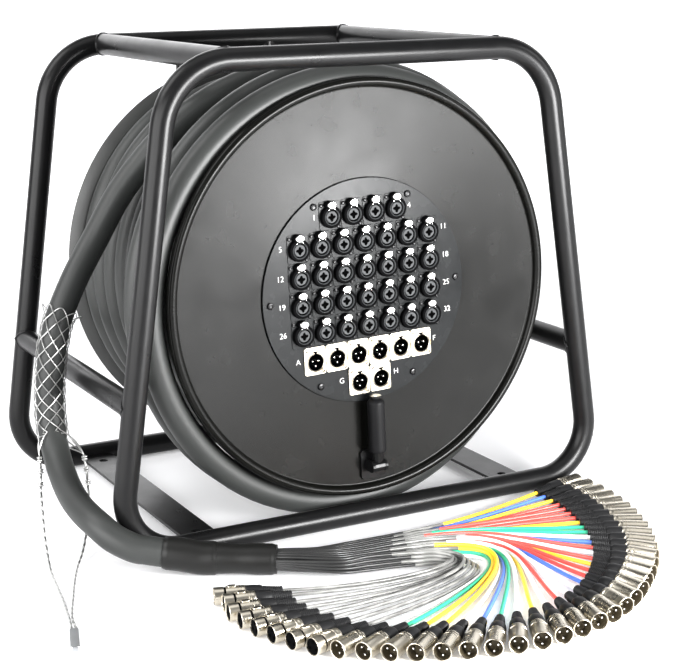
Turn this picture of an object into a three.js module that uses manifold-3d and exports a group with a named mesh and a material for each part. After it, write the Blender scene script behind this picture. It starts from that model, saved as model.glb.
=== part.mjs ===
// Stage box snake: a cable drum on a tubular frame, a socket panel in the drum's face, and a fan of
// plug tails on the free end of the snake. Millimetres, +Z up, front panel towards -Y, origin on the
// floor under the middle of the frame.

import * as THREE from 'three';
import { mergeVertices } from 'three/addons/utils/BufferGeometryUtils.js';
import Module from 'manifold-3d';

const wasm = await Module();
wasm.setup();

// Frame
const tube_diameter = 25;
const hoop_spacing = 364;
const rim_to_top = 37;
const rim_to_floor = 30;
const top_inset = 6.5;
const foot_reach = 68;
const top_corner_radius = 75;
const foot_corner_radius = 60;
const cross_tube_spread = 324;
const side_tube_height = 170;
const weld_gap = 0.3;
const foot_bar_width = 39;
const foot_bar_thickness = 3.5;
const foot_bar_spread = 396;
const foot_bolt_hole = 11;
const foot_bolt_inset = 24;
const post_spread = 110;
const hub_plate_width = 160;
const hub_plate_height = 120;
const hub_plate_thickness = 6;
const hub_bolt_head = 13;
const hub_bolt_head_height = 6;

// Axle and bearings
const spindle_diameter = 25;
const spindle_flange_diameter = 80;
const spindle_flange_thickness = 8;
const bearing_diameter = 52;
const bearing_width = 15;
const running_gap = 0.4;
const nut_across_corners = 42;
const nut_sides = 6;
const nut_thickness = 16;
const nut_washer_diameter = 48;
const nut_washer_thickness = 3;

// Drum
const drum_rest_turn = 2.2;
const flange_radius = 232;
const flange_sheet = 2;
const flange_lip_width = 10;
const flange_lip_height = 7.5;
const drum_front = -167;
const drum_rear = 130.5;
const barrel_radius = 120;
const barrel_wall = 3;
const panel_opening_radius = 114;
const hub_radius = 35;
const hub_length = 150;
const hub_flange_radius = 62;
const hub_flange_thickness = 6;
const seat_gap = 0.3;

// Winding
const snake_diameter = 30;
const winding_radius = 203;
const winding_pitch = 30.8;
const layer_height = 31.3;
const winding_end_angle = 52;
const winding_slack = 12;
const winding_clearance = 0.5;
const core_clearance = 4;
const steps_per_turn = 18;
const winding_sides = 6;
const stations_skipped = 8;

// Socket panel
const panel_radius = 124;
const panel_thickness = 2.5;
const socket_width = 26;
const socket_height = 31;
const socket_corner = 4;
const socket_flange = 1.6;
const socket_column_pitch = 26.6;
const socket_row_pitch = 31.25;
const first_row_height = 88.3;
const combo_ring_diameter = 24;
const combo_ring_height = 6;
const combo_bore_diameter = 19;
const combo_bore_depth = 3.4;
const combo_edge = 0.6;
const latch_width = 9;
const latch_height = 5;
const latch_depth = 7;
const plug_cup_diameter = 23.2;
const plug_cup_bore = 19;
const plug_cup_depth = 16;
const plug_cup_floor = 3;
const plug_cup_gap = 0.6;
const pin_diameter = 2.4;
const pin_length = 11;
const pin_circle_radius = 4.2;
const panel_screw_diameter = 6;
const panel_screw_height = 1.6;
const panel_screw_radius = 115.5;
const panel_screw_angles = [0, 62, 119, 180, 241, 298];
const pin_angles = [90, 210, 330];

// Folding handle
const handle_to_rim = 34;
const handle_standoff = 15.3;
const handle_base_length = 34;
const handle_base_width = 30;
const handle_base_thickness = 3;
const handle_ear_thickness = 3;
const handle_ear_reach = 6.5;
const handle_eye_radius = 6;
const handle_eye_width = 12;
const handle_pin_diameter = 6;
const handle_arm_diameter = 8;
const grip_diameter = 19.5;
const grip_length = 62;
const grip_start = 17;
const grip_cap_thickness = 2.5;
const grip_cap_diameter = 13;
const handle_gap = 0.4;
const handle_sides = 12;

// Free end of the snake
const run_sides = 8;
const run_steps = 28;
const face_gap = 0.3;
const large_sleeve_diameter = 35;
const small_sleeve_diameter = 33;
const grip_sleeve_bore = 34.5;
const grip_sleeve_diameter = 36.5;
const grip_start_share = 0.604;
const grip_end_share = 0.755;
const rope_diameter = 3;
const rope_sides = 6;
const rope_steps = 16;
const sleeve_sides = 10;
const large_sleeve_steps = 6;
const small_sleeve_steps = 3;
const grip_sleeve_steps = 7;
const grip_sleeve_points = 9;
const clip_length = 44;
const clip_width = 9;
const clip_thickness = 5;

// Tails and their plugs
const tail_diameter = 4;
const tail_sides = 4;
const tail_groups = 5;
const tails_per_group = 8;
const male_steps = 6;
const female_steps = 9;
const trunk_steps = 4;
const tail_pitch = 4.8;
const grid_rows = 4;
const breakout_length = 14;
const slice_pitch = 6.1;
const slice_gap = 0.5;
const plug_diameter = 18;
const plug_shell_length = 35;
const plug_boot_length = 41;
const plug_boot_end_diameter = 9;
const plug_sides = 6;
const plug_height = 9.6;
const fan_centre = [-15, -258];
const fan_first_angle = -166;
const fan_last_angle = 10.5;
const fan_radius = 285;

// Shares along the fan, from the first female plug to the last male one: place, radius, skew in degrees
const fan_radius_shares = [
  [0, 0.9], [0.05, 0.95], [0.1, 1], [0.2, 1.07], [0.42, 1.075], [0.52, 1.05], [1, 1],
];
const fan_skew_shares = [[0, -31], [0.2, -30], [0.32, -27], [0.52, -19], [1, 0]];
const tail_lead_shares = [
  [0, 0.61], [0.18, 0.66], [0.205, 0.73], [0.385, 0.75], [0.41, 0.8], [0.59, 0.7], [1, 0.44],
];
const tail_return_shares = [[0, 0.6], [0.18, 0.66], [0.205, 0.7], [0.385, 0.55], [0.59, 0.42], [1, 0.386]];
const tail_drift_shares = [
  [0, 0.13], [0.18, 0.13], [0.205, 0.05], [0.385, 0.03], [0.41, -0.01], [0.6, -0.03], [1, -0.03],
];

// The frame's size and the handle's place follow from the drum and its clearances
const axis_height = flange_radius + rim_to_floor;
const frame_height = axis_height + flange_radius + rim_to_top;
const top_half_width = flange_radius - top_inset;
const foot_half_width = flange_radius + foot_reach;
const handle_pivot_radius = flange_radius - handle_to_rim;

const finishes = {
  powder_coat: new THREE.MeshStandardMaterial({ color: 0x15161a, roughness: 0.42, metalness: 0.1 }),
  flange_black: new THREE.MeshStandardMaterial({ color: 0x17181a, roughness: 0.38, metalness: 0.15 }),
  panel_black: new THREE.MeshStandardMaterial({ color: 0x1b1d22, roughness: 0.5, metalness: 0.1 }),
  socket_black: new THREE.MeshStandardMaterial({ color: 0x0d0e10, roughness: 0.45, metalness: 0 }),
  nickel: new THREE.MeshStandardMaterial({ color: 0xd6d0c0, roughness: 0.25, metalness: 0.9 }),
  steel: new THREE.MeshStandardMaterial({ color: 0xa7a9ab, roughness: 0.35, metalness: 0.9 }),
  cable_jacket: new THREE.MeshStandardMaterial({ color: 0x242725, roughness: 0.75, metalness: 0 }),
  boot_rubber: new THREE.MeshStandardMaterial({ color: 0x151516, roughness: 0.7, metalness: 0 }),
  tail_jacket: new THREE.MeshStandardMaterial({ color: 0x55544f, roughness: 0.6, metalness: 0 }),
};

const degree = Math.PI / 180;
const quarter_turn = 90 * degree;
const tube_radius = tube_diameter / 2;
const weld_tolerance = 1e-4;
const cut_overrun = 5;
const stage_box_snake = new THREE.Group();

// Shared vertices, no collapsed triangles, faces pointing out.
function closed(geometry) {
  geometry.deleteAttribute('normal');
  geometry.deleteAttribute('uv');
  const welded = mergeVertices(geometry, weld_tolerance);
  const place = welded.attributes.position;
  const corners = [];
  let volume = 0;
  const [a, b, c] = [new THREE.Vector3(), new THREE.Vector3(), new THREE.Vector3()];
  for (let i = 0; i < welded.index.count; i += 3) {
    const [p, q, r] = [0, 1, 2].map((k) => welded.index.getX(i + k));
    if (p === q || q === r || r === p) continue;
    corners.push(p, q, r);
    a.fromBufferAttribute(place, p);
    b.fromBufferAttribute(place, q);
    c.fromBufferAttribute(place, r);
    volume += a.dot(b.cross(c));
  }
  welded.setIndex(volume < 0 ? corners.reverse() : corners);
  return welded;
}

function solid(geometry) {
  const shell = closed(geometry);
  return new wasm.Manifold(new wasm.Mesh({
    numProp: 3,
    vertProperties: new Float32Array(shell.attributes.position.array),
    triVerts: new Uint32Array(shell.index.array),
  }));
}

function joined(geometries) {
  return geometries.map(solid).reduce((whole, piece) => whole.add(piece));
}

function geometryOf(manifold) {
  const mesh = manifold.getMesh();
  const geometry = new THREE.BufferGeometry();
  geometry.setAttribute('position', new THREE.BufferAttribute(mesh.vertProperties, 3));
  geometry.setIndex(new THREE.BufferAttribute(mesh.triVerts, 1));
  return geometry;
}

function addPart(name, shape, finish, group = stage_box_snake) {
  const geometry = shape.isBufferGeometry ? closed(shape) : geometryOf(shape);
  geometry.computeVertexNormals();
  const mesh = new THREE.Mesh(geometry, finish);
  mesh.name = name;
  group.add(mesh);
}

// A tube through stations, with rings of equal sides; the first corner of a ring lies along `lead`.
function sweep(stations, radii, sides, lead, loops = false) {
  const count = stations.length;
  const corners = [];
  const faces = [];
  stations.forEach((station, i) => {
    const before = stations[loops ? (i + count - 1) % count : Math.max(i - 1, 0)];
    const after = stations[loops ? (i + 1) % count : Math.min(i + 1, count - 1)];
    const forward = after.clone().sub(station).normalize();
    forward.add(station.clone().sub(before).normalize()).normalize();
    const across = lead(station, i).clone().addScaledVector(forward, -lead(station, i).dot(forward)).normalize();
    const beside = forward.clone().cross(across);
    const radius = Array.isArray(radii) ? radii[i] : radii;
    for (let k = 0; k < sides; k += 1) {
      const angle = (k / sides) * 2 * Math.PI;
      const corner = station.clone().addScaledVector(across, radius * Math.cos(angle));
      corner.addScaledVector(beside, radius * Math.sin(angle));
      corners.push(...corner.toArray());
    }
  });
  const bands = loops ? count : count - 1;
  for (let i = 0; i < bands; i += 1) {
    const here = i * sides;
    const there = ((i + 1) % count) * sides;
    for (let k = 0; k < sides; k += 1) {
      const next = (k + 1) % sides;
      faces.push(here + k, here + next, there + k, here + next, there + next, there + k);
    }
  }
  if (!loops) {
    const last = (count - 1) * sides;
    for (let k = 1; k < sides - 1; k += 1) {
      faces.push(0, k + 1, k, last, last + k, last + k + 1);
    }
  }
  const geometry = new THREE.BufferGeometry();
  geometry.setAttribute('position', new THREE.Float32BufferAttribute(corners, 3));
  geometry.setIndex(faces);
  return geometry;
}

// A closed outline of [radius, y] points turned about the Y axis.
function revolve(outline, segments) {
  const points = [...outline, outline[0]].map(([radius, y]) => new THREE.Vector2(radius, y));
  return new THREE.LatheGeometry(points, segments);
}

// A flat shape drawn in X and Z, standing `depth` proud of y towards the front.
function facingFront(shape, depth, y) {
  const geometry = new THREE.ExtrudeGeometry(shape, { depth, bevelEnabled: false, curveSegments: 3 });
  return geometry.rotateX(quarter_turn).translate(0, y, 0);
}

function roundBar(radius, start, end, sides, x = 0, z = 0) {
  const bar = new THREE.CylinderGeometry(radius, radius, end - start, sides);
  return bar.translate(x, (start + end) / 2, z);
}

function chamferedPlate(width, height, corner) {
  const [w, h] = [width / 2, height / 2];
  const outline = [
    [w - corner, -h], [w, corner - h], [w, h - corner], [w - corner, h],
    [corner - w, h], [-w, h - corner], [-w, corner - h], [corner - w, -h],
  ];
  return new THREE.Shape(outline.map(([x, z]) => new THREE.Vector2(x, z)));
}

function between(table, place) {
  const last = table.length - 1;
  const i = Math.max(0, Math.min(last - 1, table.findIndex(([at]) => at > place) - 1));
  const span = place >= table[last][0] ? last - 1 : i;
  const [[from, low], [to, high]] = [table[span], table[span + 1]];
  return low + ((place - from) / (to - from)) * (high - low);
}

// Frame: two bent hoops joined by cross tubes, side tubes and foot bars.
const top_level = frame_height - tube_radius;
const foot_level = tube_radius;
const hoop_y = hoop_spacing / 2;
const side_lean = Math.atan2(foot_half_width - top_half_width, top_level - foot_level);

function sideCentre(height) {
  return foot_half_width - (height - foot_level) * Math.tan(side_lean);
}

function hoopStations(y) {
  const corners = [
    [foot_half_width, foot_level, foot_corner_radius], [top_half_width, top_level, top_corner_radius],
    [-top_half_width, top_level, top_corner_radius], [-foot_half_width, foot_level, foot_corner_radius],
  ];
  const arc_steps = 3;
  return corners.flatMap(([x, z, radius], i) => {
    const corner = new THREE.Vector2(x, z);
    const towards = (j) => new THREE.Vector2(corners[j % 4][0], corners[j % 4][1]).sub(corner).normalize();
    const [back, on] = [towards(i + 3), towards(i + 1)];
    const half = Math.acos(back.dot(on)) / 2;
    const middle = back.clone().add(on).normalize();
    const centre = corner.clone().addScaledVector(middle, radius / Math.sin(half));
    const start = middle.clone().negate().angle();
    const sweep_angle = Math.PI - 2 * half;
    return Array.from({ length: arc_steps + 1 }, (_, k) => {
      const angle = start + (k / arc_steps - 0.5) * sweep_angle;
      const [u, v] = [Math.cos(angle), Math.sin(angle)];
      return new THREE.Vector3(centre.x + radius * u, y, centre.y + radius * v);
    });
  });
}

const frame_sides = 12;
const forward_lead = () => new THREE.Vector3(0, 1, 0);

for (const [name, y] of [['front_hoop', -hoop_y], ['rear_hoop', hoop_y]]) {
  addPart(name, sweep(hoopStations(y), tube_radius, frame_sides, forward_lead, true), finishes.powder_coat);
}

// What the hoops take out of a tube that is welded to them, with the weld's gap.
const hoop_cuts = [-hoop_y, hoop_y].map((y) => (
  solid(sweep(hoopStations(y), tube_radius + weld_gap, frame_sides, forward_lead, true))
));

function copedTube(x, z) {
  const tube = solid(roundBar(tube_radius, -hoop_y, hoop_y, frame_sides, x, z));
  return hoop_cuts.reduce((rest, cut) => rest.subtract(cut), tube);
}

for (const [side, sign] of [['left', -1], ['right', 1]]) {
  const top_x = sign * cross_tube_spread / 2;
  addPart(`top_tube_${side}`, copedTube(top_x, top_level), finishes.powder_coat);
  const side_x = sign * sideCentre(side_tube_height);
  addPart(`side_tube_${side}`, copedTube(side_x, side_tube_height), finishes.powder_coat);
}

// Foot bars: flat strips between the bottom tubes, with a bolt hole near each end.
const foot_bar_length = hoop_spacing - tube_diameter - 2 * weld_gap;
for (const [name, sign] of [['foot_bar_left', -1], ['foot_bar_right', 1]]) {
  const strip = chamferedPlate(foot_bar_width, foot_bar_length, foot_bar_thickness);
  for (const end of [-1, 1]) {
    const hole = new THREE.Path();
    hole.absarc(0, end * (foot_bar_length / 2 - foot_bolt_inset), foot_bolt_hole / 2, 0, 2 * Math.PI, true);
    strip.holes.push(hole);
  }
  const bar = new THREE.ExtrudeGeometry(strip, {
    depth: foot_bar_thickness, bevelEnabled: false, curveSegments: 5,
  });
  bar.translate(sign * foot_bar_spread / 2, 0, foot_level - foot_bar_thickness);
  addPart(name, bar, finishes.powder_coat);
}

// Rear posts between the rear hoop's bars, and the plate that carries the spindle.
for (const [name, sign] of [['rear_post_left', -1], ['rear_post_right', 1]]) {
  const x = sign * post_spread / 2;
  const stations = [foot_level, top_level].map((z) => new THREE.Vector3(x, hoop_y, z));
  const bar = solid(sweep(stations, tube_radius, frame_sides, forward_lead));
  const post = hoop_cuts.reduce((rest, cut) => rest.subtract(cut), bar);
  addPart(name, post, finishes.powder_coat);
}

const plate_rear = hoop_y - tube_radius - weld_gap;
const plate_front = plate_rear - hub_plate_thickness;
const plate_corner = hub_plate_thickness;
const hub_plate = [
  facingFront(chamferedPlate(hub_plate_width, hub_plate_height, plate_corner), hub_plate_thickness, plate_rear)
    .translate(0, 0, axis_height),
];
const bolt_reach = [post_spread / 2, hub_plate_height / 2 - hub_bolt_head];
for (const [sx, sz] of [[-1, -1], [-1, 1], [1, -1], [1, 1]]) {
  const head_end = plate_front - hub_bolt_head_height;
  const head_z = axis_height + sz * bolt_reach[1];
  const head_x = sx * bolt_reach[0];
  hub_plate.push(roundBar(hub_bolt_head / 2, head_end, plate_front + weld_gap, nut_sides, head_x, head_z));
}
addPart('hub_plate', joined(hub_plate), finishes.powder_coat);

// Spindle: flanged stub axle on the hub plate, with the retaining nut on its front end.
const spindle_radius = spindle_diameter / 2;
const spindle_rear = plate_front - seat_gap;
const hub_front = drum_rear - hub_length;
const nut_rear = hub_front - running_gap;
const nut_front = nut_rear - nut_washer_thickness - nut_thickness;
const spindle_front = nut_front - pin_diameter;
const flange_face = spindle_rear - spindle_flange_thickness;
const round_sides = 16;
const spindle_outline = [
  [0, spindle_rear], [spindle_flange_diameter / 2, spindle_rear], [spindle_flange_diameter / 2, flange_face],
  [spindle_radius, flange_face], [spindle_radius, spindle_front], [0, spindle_front],
];
addPart('spindle', revolve(spindle_outline, round_sides).translate(0, 0, axis_height), finishes.steel);

const nut_bore = spindle_radius + running_gap;
const nut = joined([
  roundBar(nut_washer_diameter / 2, nut_rear - nut_washer_thickness, nut_rear, round_sides),
  roundBar(nut_across_corners / 2, nut_front, nut_rear - nut_washer_thickness / 2, nut_sides),
]).subtract(solid(roundBar(nut_bore, nut_front - cut_overrun, nut_rear + cut_overrun, round_sides)));
addPart('spindle_nut', nut.translate([0, 0, axis_height]), finishes.steel);

// Drum: everything below turns about the spindle.
const drum = new THREE.Group();
drum.position.z = axis_height;
drum.rotation.y = -drum_rest_turn * degree;
stage_box_snake.add(drum);

const flange_sides = 36;

// A pressed disc with a hollow rolled rim; `way` is -1 for a rim raised to the front, 1 to the rear.
function flangeOutline(inner_y, way, bore) {
  const face = inner_y + way * flange_sheet;
  const rim = face + way * flange_lip_height;
  const rim_inside = flange_radius - flange_lip_width;
  return [
    [bore, inner_y], [rim_inside + flange_sheet, inner_y],
    [rim_inside + flange_sheet, rim - way * flange_sheet], [flange_radius - flange_sheet, rim - way * flange_sheet],
    [flange_radius - flange_sheet, inner_y], [flange_radius, inner_y], [flange_radius, rim],
    [rim_inside, rim], [rim_inside, face], [bore, face],
  ];
}

const hub_bore = hub_radius + seat_gap;
const front_outline = flangeOutline(drum_front, -1, panel_opening_radius);
const rear_outline = flangeOutline(drum_rear, 1, hub_bore);
addPart('front_flange', revolve(front_outline, flange_sides), finishes.flange_black, drum);
addPart('rear_flange', revolve(rear_outline, flange_sides), finishes.flange_black, drum);

const inside_front = drum_front + seat_gap;
const inside_rear = drum_rear - seat_gap;
const barrel_sides = 24;
const barrel_bore = barrel_radius - barrel_wall;
const barrel_outline = [
  [barrel_bore, inside_front], [barrel_radius, inside_front],
  [barrel_radius, inside_rear], [barrel_bore, inside_rear],
];
addPart('drum_barrel', revolve(barrel_outline, barrel_sides), finishes.flange_black, drum);

// Hub: flanged tube behind the rear flange, bored for a bearing at each end.
const bearing_seat = bearing_diameter / 2 + running_gap;
const hub_tube_bore = bearing_seat - 3 * barrel_wall;
const hub_flange_front = drum_rear + flange_sheet + seat_gap;
const hub_back = hub_flange_front + hub_flange_thickness;
const seat_depth = bearing_width + running_gap;
const hub_outline = [
  [hub_tube_bore, hub_front + seat_depth], [bearing_seat, hub_front + seat_depth], [bearing_seat, hub_front],
  [hub_radius, hub_front], [hub_radius, hub_flange_front], [hub_flange_radius, hub_flange_front],
  [hub_flange_radius, hub_back], [bearing_seat, hub_back], [bearing_seat, hub_back - seat_depth],
  [hub_tube_bore, hub_back - seat_depth],
];
addPart('drum_hub', revolve(hub_outline, round_sides), finishes.steel, drum);

const bearing_bore = spindle_radius + running_gap;
const bearing_outer = bearing_diameter / 2;
for (const [name, front] of [['bearing_front', hub_front], ['bearing_rear', hub_back - bearing_width]]) {
  const ring = [
    [bearing_bore, front], [bearing_outer, front], [bearing_outer, front + bearing_width],
    [bearing_bore, front + bearing_width],
  ];
  addPart(name, revolve(ring, round_sides), finishes.steel, drum);
}

// Winding: one unbroken tube. It crosses the drum from the rear, climbs at the front flange and comes back
// over itself; each later turn moves over by one pitch in the first part of its turn.
const snake_radius = snake_diameter / 2;
const wind_front = drum_front + snake_radius + winding_clearance;
const wind_rear = drum_rear - snake_radius - 2 * winding_clearance;
const layer_turns = (wind_rear - wind_front) / winding_pitch;
const climb_turns_share = 0.667;
const shift_start_share = 0.6;
const shift_length_share = 0.6;
const top_turns_share = 2.2;
const winding_turns = layer_turns + top_turns_share;
const slack_angle = 45 * degree;

function smooth(share) {
  const s = Math.min(1, Math.max(0, share));
  return s * s * (3 - 2 * s);
}

function windingPoint(turn) {
  const past = turn - layer_turns;
  const angle = (winding_end_angle - drum_rest_turn) * degree - (winding_turns - turn) * 2 * Math.PI;
  let radius = winding_radius;
  let y = wind_rear - turn * winding_pitch;
  if (past > 0) {
    const climbed = Math.min(1, past / climb_turns_share);
    const bulge = (1 - Math.cos(angle + drum_rest_turn * degree - slack_angle)) / 2;
    radius += layer_height * Math.sqrt(2 * climbed - climbed * climbed);
    radius += winding_slack * bulge * smooth(2 * past);
    const over = Math.max(0, past - shift_start_share);
    y = wind_front + winding_pitch * (Math.floor(over) + smooth((over % 1) / shift_length_share));
  }
  return new THREE.Vector3(radius * Math.cos(angle), y, radius * Math.sin(angle));
}

const winding_steps = Math.floor(winding_turns * steps_per_turn);
const winding = Array.from({ length: winding_steps + 1 }, (_, i) => (
  windingPoint(winding_turns - (winding_steps - i) / steps_per_turn)
));

function leastGap(stations, radius, skip) {
  const chord = new THREE.Line3();
  const foot = new THREE.Vector3();
  let least = Infinity;
  for (let i = 0; i < stations.length; i += 1) {
    for (let j = i + skip; j < stations.length - 1; j += 1) {
      chord.set(stations[j], stations[j + 1]).closestPointToPoint(stations[i], true, foot);
      least = Math.min(least, foot.distanceTo(stations[i]) - 2 * radius);
    }
  }
  return least;
}

const winding_gap = leastGap(winding, snake_radius, stations_skipped);
console.log(`snake winding: least gap to itself ${winding_gap.toFixed(2)} mm`);
const wound = sweep(winding, snake_radius, winding_sides, forward_lead);
addPart('snake_winding', wound, finishes.cable_jacket, drum);

const core_radius = winding_radius - snake_radius - core_clearance;
const core_inside = barrel_radius + seat_gap;
const core_outline = [
  [core_inside, inside_front], [core_radius, inside_front],
  [core_radius, inside_rear], [core_inside, inside_rear],
];
addPart('inner_cable_layers', revolve(core_outline, barrel_sides), finishes.cable_jacket, drum);

// Socket panel: a round plate with 32 combination sockets fused to it and eight holes for plug cups.
const flange_front_face = drum_front - flange_sheet;
const panel_rear = flange_front_face - seat_gap;
const panel_front = panel_rear - panel_thickness;
const combo_sides = 8;
const cup_sides = 10;
const pin_sides = 4;
const combo_row_counts = [4, 7, 7, 7, 7];
const cup_row_counts = [6, 2];

function rowPlaces(counts, first_row) {
  return counts.flatMap((count, row) => Array.from({ length: count }, (_, column) => [
    (column - (count - 1) / 2) * socket_column_pitch,
    first_row_height - (first_row + row) * socket_row_pitch,
  ]));
}

function comboSocket(x, z) {
  const front = panel_front - combo_ring_height;
  const latch_z = (socket_height - latch_height) / 2 - combo_edge;
  const ring_z = latch_z - (latch_height + combo_ring_diameter) / 2;
  const latch = new THREE.BoxGeometry(latch_width, latch_depth + seat_gap, latch_height);
  const body = joined([
    roundBar(combo_ring_diameter / 2, front, panel_front + seat_gap, combo_sides, 0, ring_z),
    latch.translate(0, panel_front + (seat_gap - latch_depth) / 2, latch_z),
  ]);
  const bore = roundBar(combo_bore_diameter / 2, front - cut_overrun, front + combo_bore_depth, combo_sides);
  return body.subtract(solid(bore.translate(0, 0, ring_z))).translate([x, 0, z]);
}

let panel = solid(roundBar(panel_radius, panel_front, panel_rear, flange_sides));
const cup_hole_radius = plug_cup_diameter / 2 + plug_cup_gap;
const cup_hole = roundBar(cup_hole_radius, panel_front - cut_overrun, panel_rear + cut_overrun, cup_sides);
for (const [x, z] of rowPlaces(cup_row_counts, combo_row_counts.length)) {
  panel = panel.subtract(solid(cup_hole.clone().translate(x, 0, z)));
}
for (const angle of panel_screw_angles) {
  const [x, z] = [Math.cos(angle * degree), Math.sin(angle * degree)].map((s) => s * panel_screw_radius);
  const head_front = panel_front - panel_screw_height;
  const head = roundBar(panel_screw_diameter / 2, head_front, panel_front + seat_gap, combo_sides, x, z);
  panel = panel.add(solid(head));
}
for (const [x, z] of rowPlaces(combo_row_counts, 0)) {
  panel = panel.add(comboSocket(x, z));
}
addPart('socket_panel', panel, finishes.panel_black, drum);

// Nickel plug sockets: a flange with a cup that reaches through the panel and holds three pins.
function plugSocket() {
  const flange = chamferedPlate(socket_width, socket_height, socket_corner);
  const flange_rear = panel_front - seat_gap;
  const front = flange_rear - socket_flange;
  const cup_bottom = front + plug_cup_depth;
  const body = joined([
    facingFront(flange, socket_flange, flange_rear),
    roundBar(plug_cup_diameter / 2, front + socket_flange / 2, cup_bottom + plug_cup_floor, cup_sides),
  ]).subtract(solid(roundBar(plug_cup_bore / 2, front - cut_overrun, cup_bottom, cup_sides)));
  const pins = pin_angles.map((angle) => roundBar(
    pin_diameter / 2, cup_bottom - pin_length, cup_bottom + plug_cup_floor / 2, pin_sides,
    pin_circle_radius * Math.cos(angle * degree), -pin_circle_radius * Math.sin(angle * degree),
  ));
  return body.add(joined(pins));
}

const plug_names = ['a', 'b', 'c', 'd', 'e', 'f', 'g', 'h'];
rowPlaces(cup_row_counts, combo_row_counts.length).forEach(([x, z], i) => {
  addPart(`plug_socket_${plug_names[i]}`, plugSocket().translate([x, 0, z]), finishes.nickel, drum);
});

// Folding handle: a bracket on the flange, an arm on its pin, and a grip that spins on the arm.
const pivot_y = flange_front_face - handle_standoff;
const bracket_front = flange_front_face - seat_gap - handle_base_thickness;
const ear_inside = handle_eye_width / 2 + handle_gap;
const ear_outside = ear_inside + handle_ear_thickness;
const bracket_rear = flange_front_face - seat_gap;
const base_shape = chamferedPlate(handle_base_width, handle_base_length, handle_base_thickness);
const bracket = [facingFront(base_shape, handle_base_thickness, bracket_rear)];
const pin_radius = handle_pin_diameter / 2;
const cross_pin = new THREE.CylinderGeometry(pin_radius, pin_radius, 2 * ear_outside, handle_sides);
bracket.push(cross_pin.rotateZ(quarter_turn).translate(0, pivot_y, 0));
for (const sign of [-1, 1]) {
  const ear = new THREE.Shape();
  const ear_base = bracket_front - pivot_y + handle_base_thickness / 2;
  ear.moveTo(ear_base, handle_ear_reach);
  ear.lineTo(0, handle_ear_reach);
  ear.absarc(0, 0, handle_ear_reach, quarter_turn, 3 * quarter_turn, false);
  ear.lineTo(ear_base, -handle_ear_reach);
  const side = new THREE.ExtrudeGeometry(ear, { depth: handle_ear_thickness, bevelEnabled: false, curveSegments: 4 });
  side.rotateX(quarter_turn).rotateZ(quarter_turn);
  const inner = sign > 0 ? ear_inside : -ear_outside;
  side.translate(inner, pivot_y, 0);
  bracket.push(side);
}
addPart('handle_bracket', joined(bracket).translate([0, 0, -handle_pivot_radius]), finishes.powder_coat, drum);

const eye_hole = handle_pin_diameter / 2 + handle_gap;
const eye = new THREE.CylinderGeometry(handle_eye_radius, handle_eye_radius, handle_eye_width, handle_sides);
const eye_cut = new THREE.CylinderGeometry(eye_hole, eye_hole, handle_eye_width + cut_overrun, handle_sides);
const cap_start = grip_start + grip_length + handle_gap;
const arm_length = cap_start + grip_cap_thickness;
function uprightBar(diameter, start, end) {
  const bar = new THREE.CylinderGeometry(diameter / 2, diameter / 2, end - start, handle_sides);
  return bar.rotateX(quarter_turn).translate(0, 0, (start + end) / 2);
}
const shoulder = uprightBar(grip_cap_diameter, handle_ear_reach + handle_gap, grip_start - handle_gap);
const arm = joined([
  eye.rotateZ(quarter_turn), uprightBar(handle_arm_diameter, 0, arm_length), shoulder,
  uprightBar(grip_cap_diameter, cap_start, arm_length),
]).subtract(solid(eye_cut.rotateZ(quarter_turn)));
addPart('handle_arm', arm.translate([0, pivot_y, -handle_pivot_radius]), finishes.steel, drum);

const grip_ends = [grip_start, grip_start + grip_length];
const grip = solid(uprightBar(grip_diameter, ...grip_ends))
  .subtract(solid(uprightBar(handle_arm_diameter + 2 * handle_gap, grip_start - cut_overrun, arm_length)));
addPart('handle_grip', grip.translate([0, pivot_y, -handle_pivot_radius]), finishes.boot_rubber, drum);

// Free end of the snake: off the winding, out of the left side and down to the floor in front.
const last_turn = winding.slice(-2).map((point) => (
  point.clone().applyEuler(drum.rotation).add(drum.position)
));
const leaving = last_turn[1].clone().sub(last_turn[0]).normalize();
const run_start = last_turn[1].clone().addScaledVector(leaving, face_gap);
const free_run_points = [
  [80, -77, 483], [0, -62, 498], [-86, -44, 481], [-148, -30, 446], [-214, -12, 374], [-250, -10, 318],
  [-279, -15, 274], [-302, -22, 230], [-312, -22, 182], [-316, -26, 134], [-319, -46, 99], [-323, -88, 73],
  [-325, -138, 60], [-319, -180, 51], [-309, -198, 41], [-291, -210, 31],
].map((point) => new THREE.Vector3(...point));
const run_end = new THREE.Vector3(-265, -219, 25);
const sleeve_joint = new THREE.Vector3(-216, -246, 18.5);
const breakout = new THREE.Vector3(-164, -277, 17.5);
const sleeve_heading = run_end.clone().sub(free_run_points.at(-1)).normalize();
const tail_heading = breakout.clone().sub(sleeve_joint).normalize();
const straight_lead = snake_radius * 0.6;

// Two points in line behind a joint, so that the tube meets it square.
function squareTo(joint, heading, way) {
  return [way * straight_lead, way * 2 * straight_lead].map((s) => joint.clone().addScaledVector(heading, s));
}

function alongPath(points, diameter, sides, steps, bore = 0) {
  const section = new THREE.Shape();
  section.absarc(0, 0, diameter / 2, 0, 2 * Math.PI, false);
  if (bore > 0) {
    section.holes.push(new THREE.Path().absarc(0, 0, bore / 2, 0, 2 * Math.PI, true));
  }
  const extrudePath = new THREE.CatmullRomCurve3(points, false, 'centripetal');
  return new THREE.ExtrudeGeometry(section, { steps, extrudePath, curveSegments: sides / 2, bevelEnabled: false });
}

const run_points = [
  run_start, ...squareTo(run_start, leaving, 1), ...free_run_points,
  ...squareTo(run_end, sleeve_heading, -1).reverse(), run_end,
];
addPart('snake_free_run', alongPath(run_points, snake_diameter, run_sides, run_steps), finishes.cable_jacket);

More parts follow.
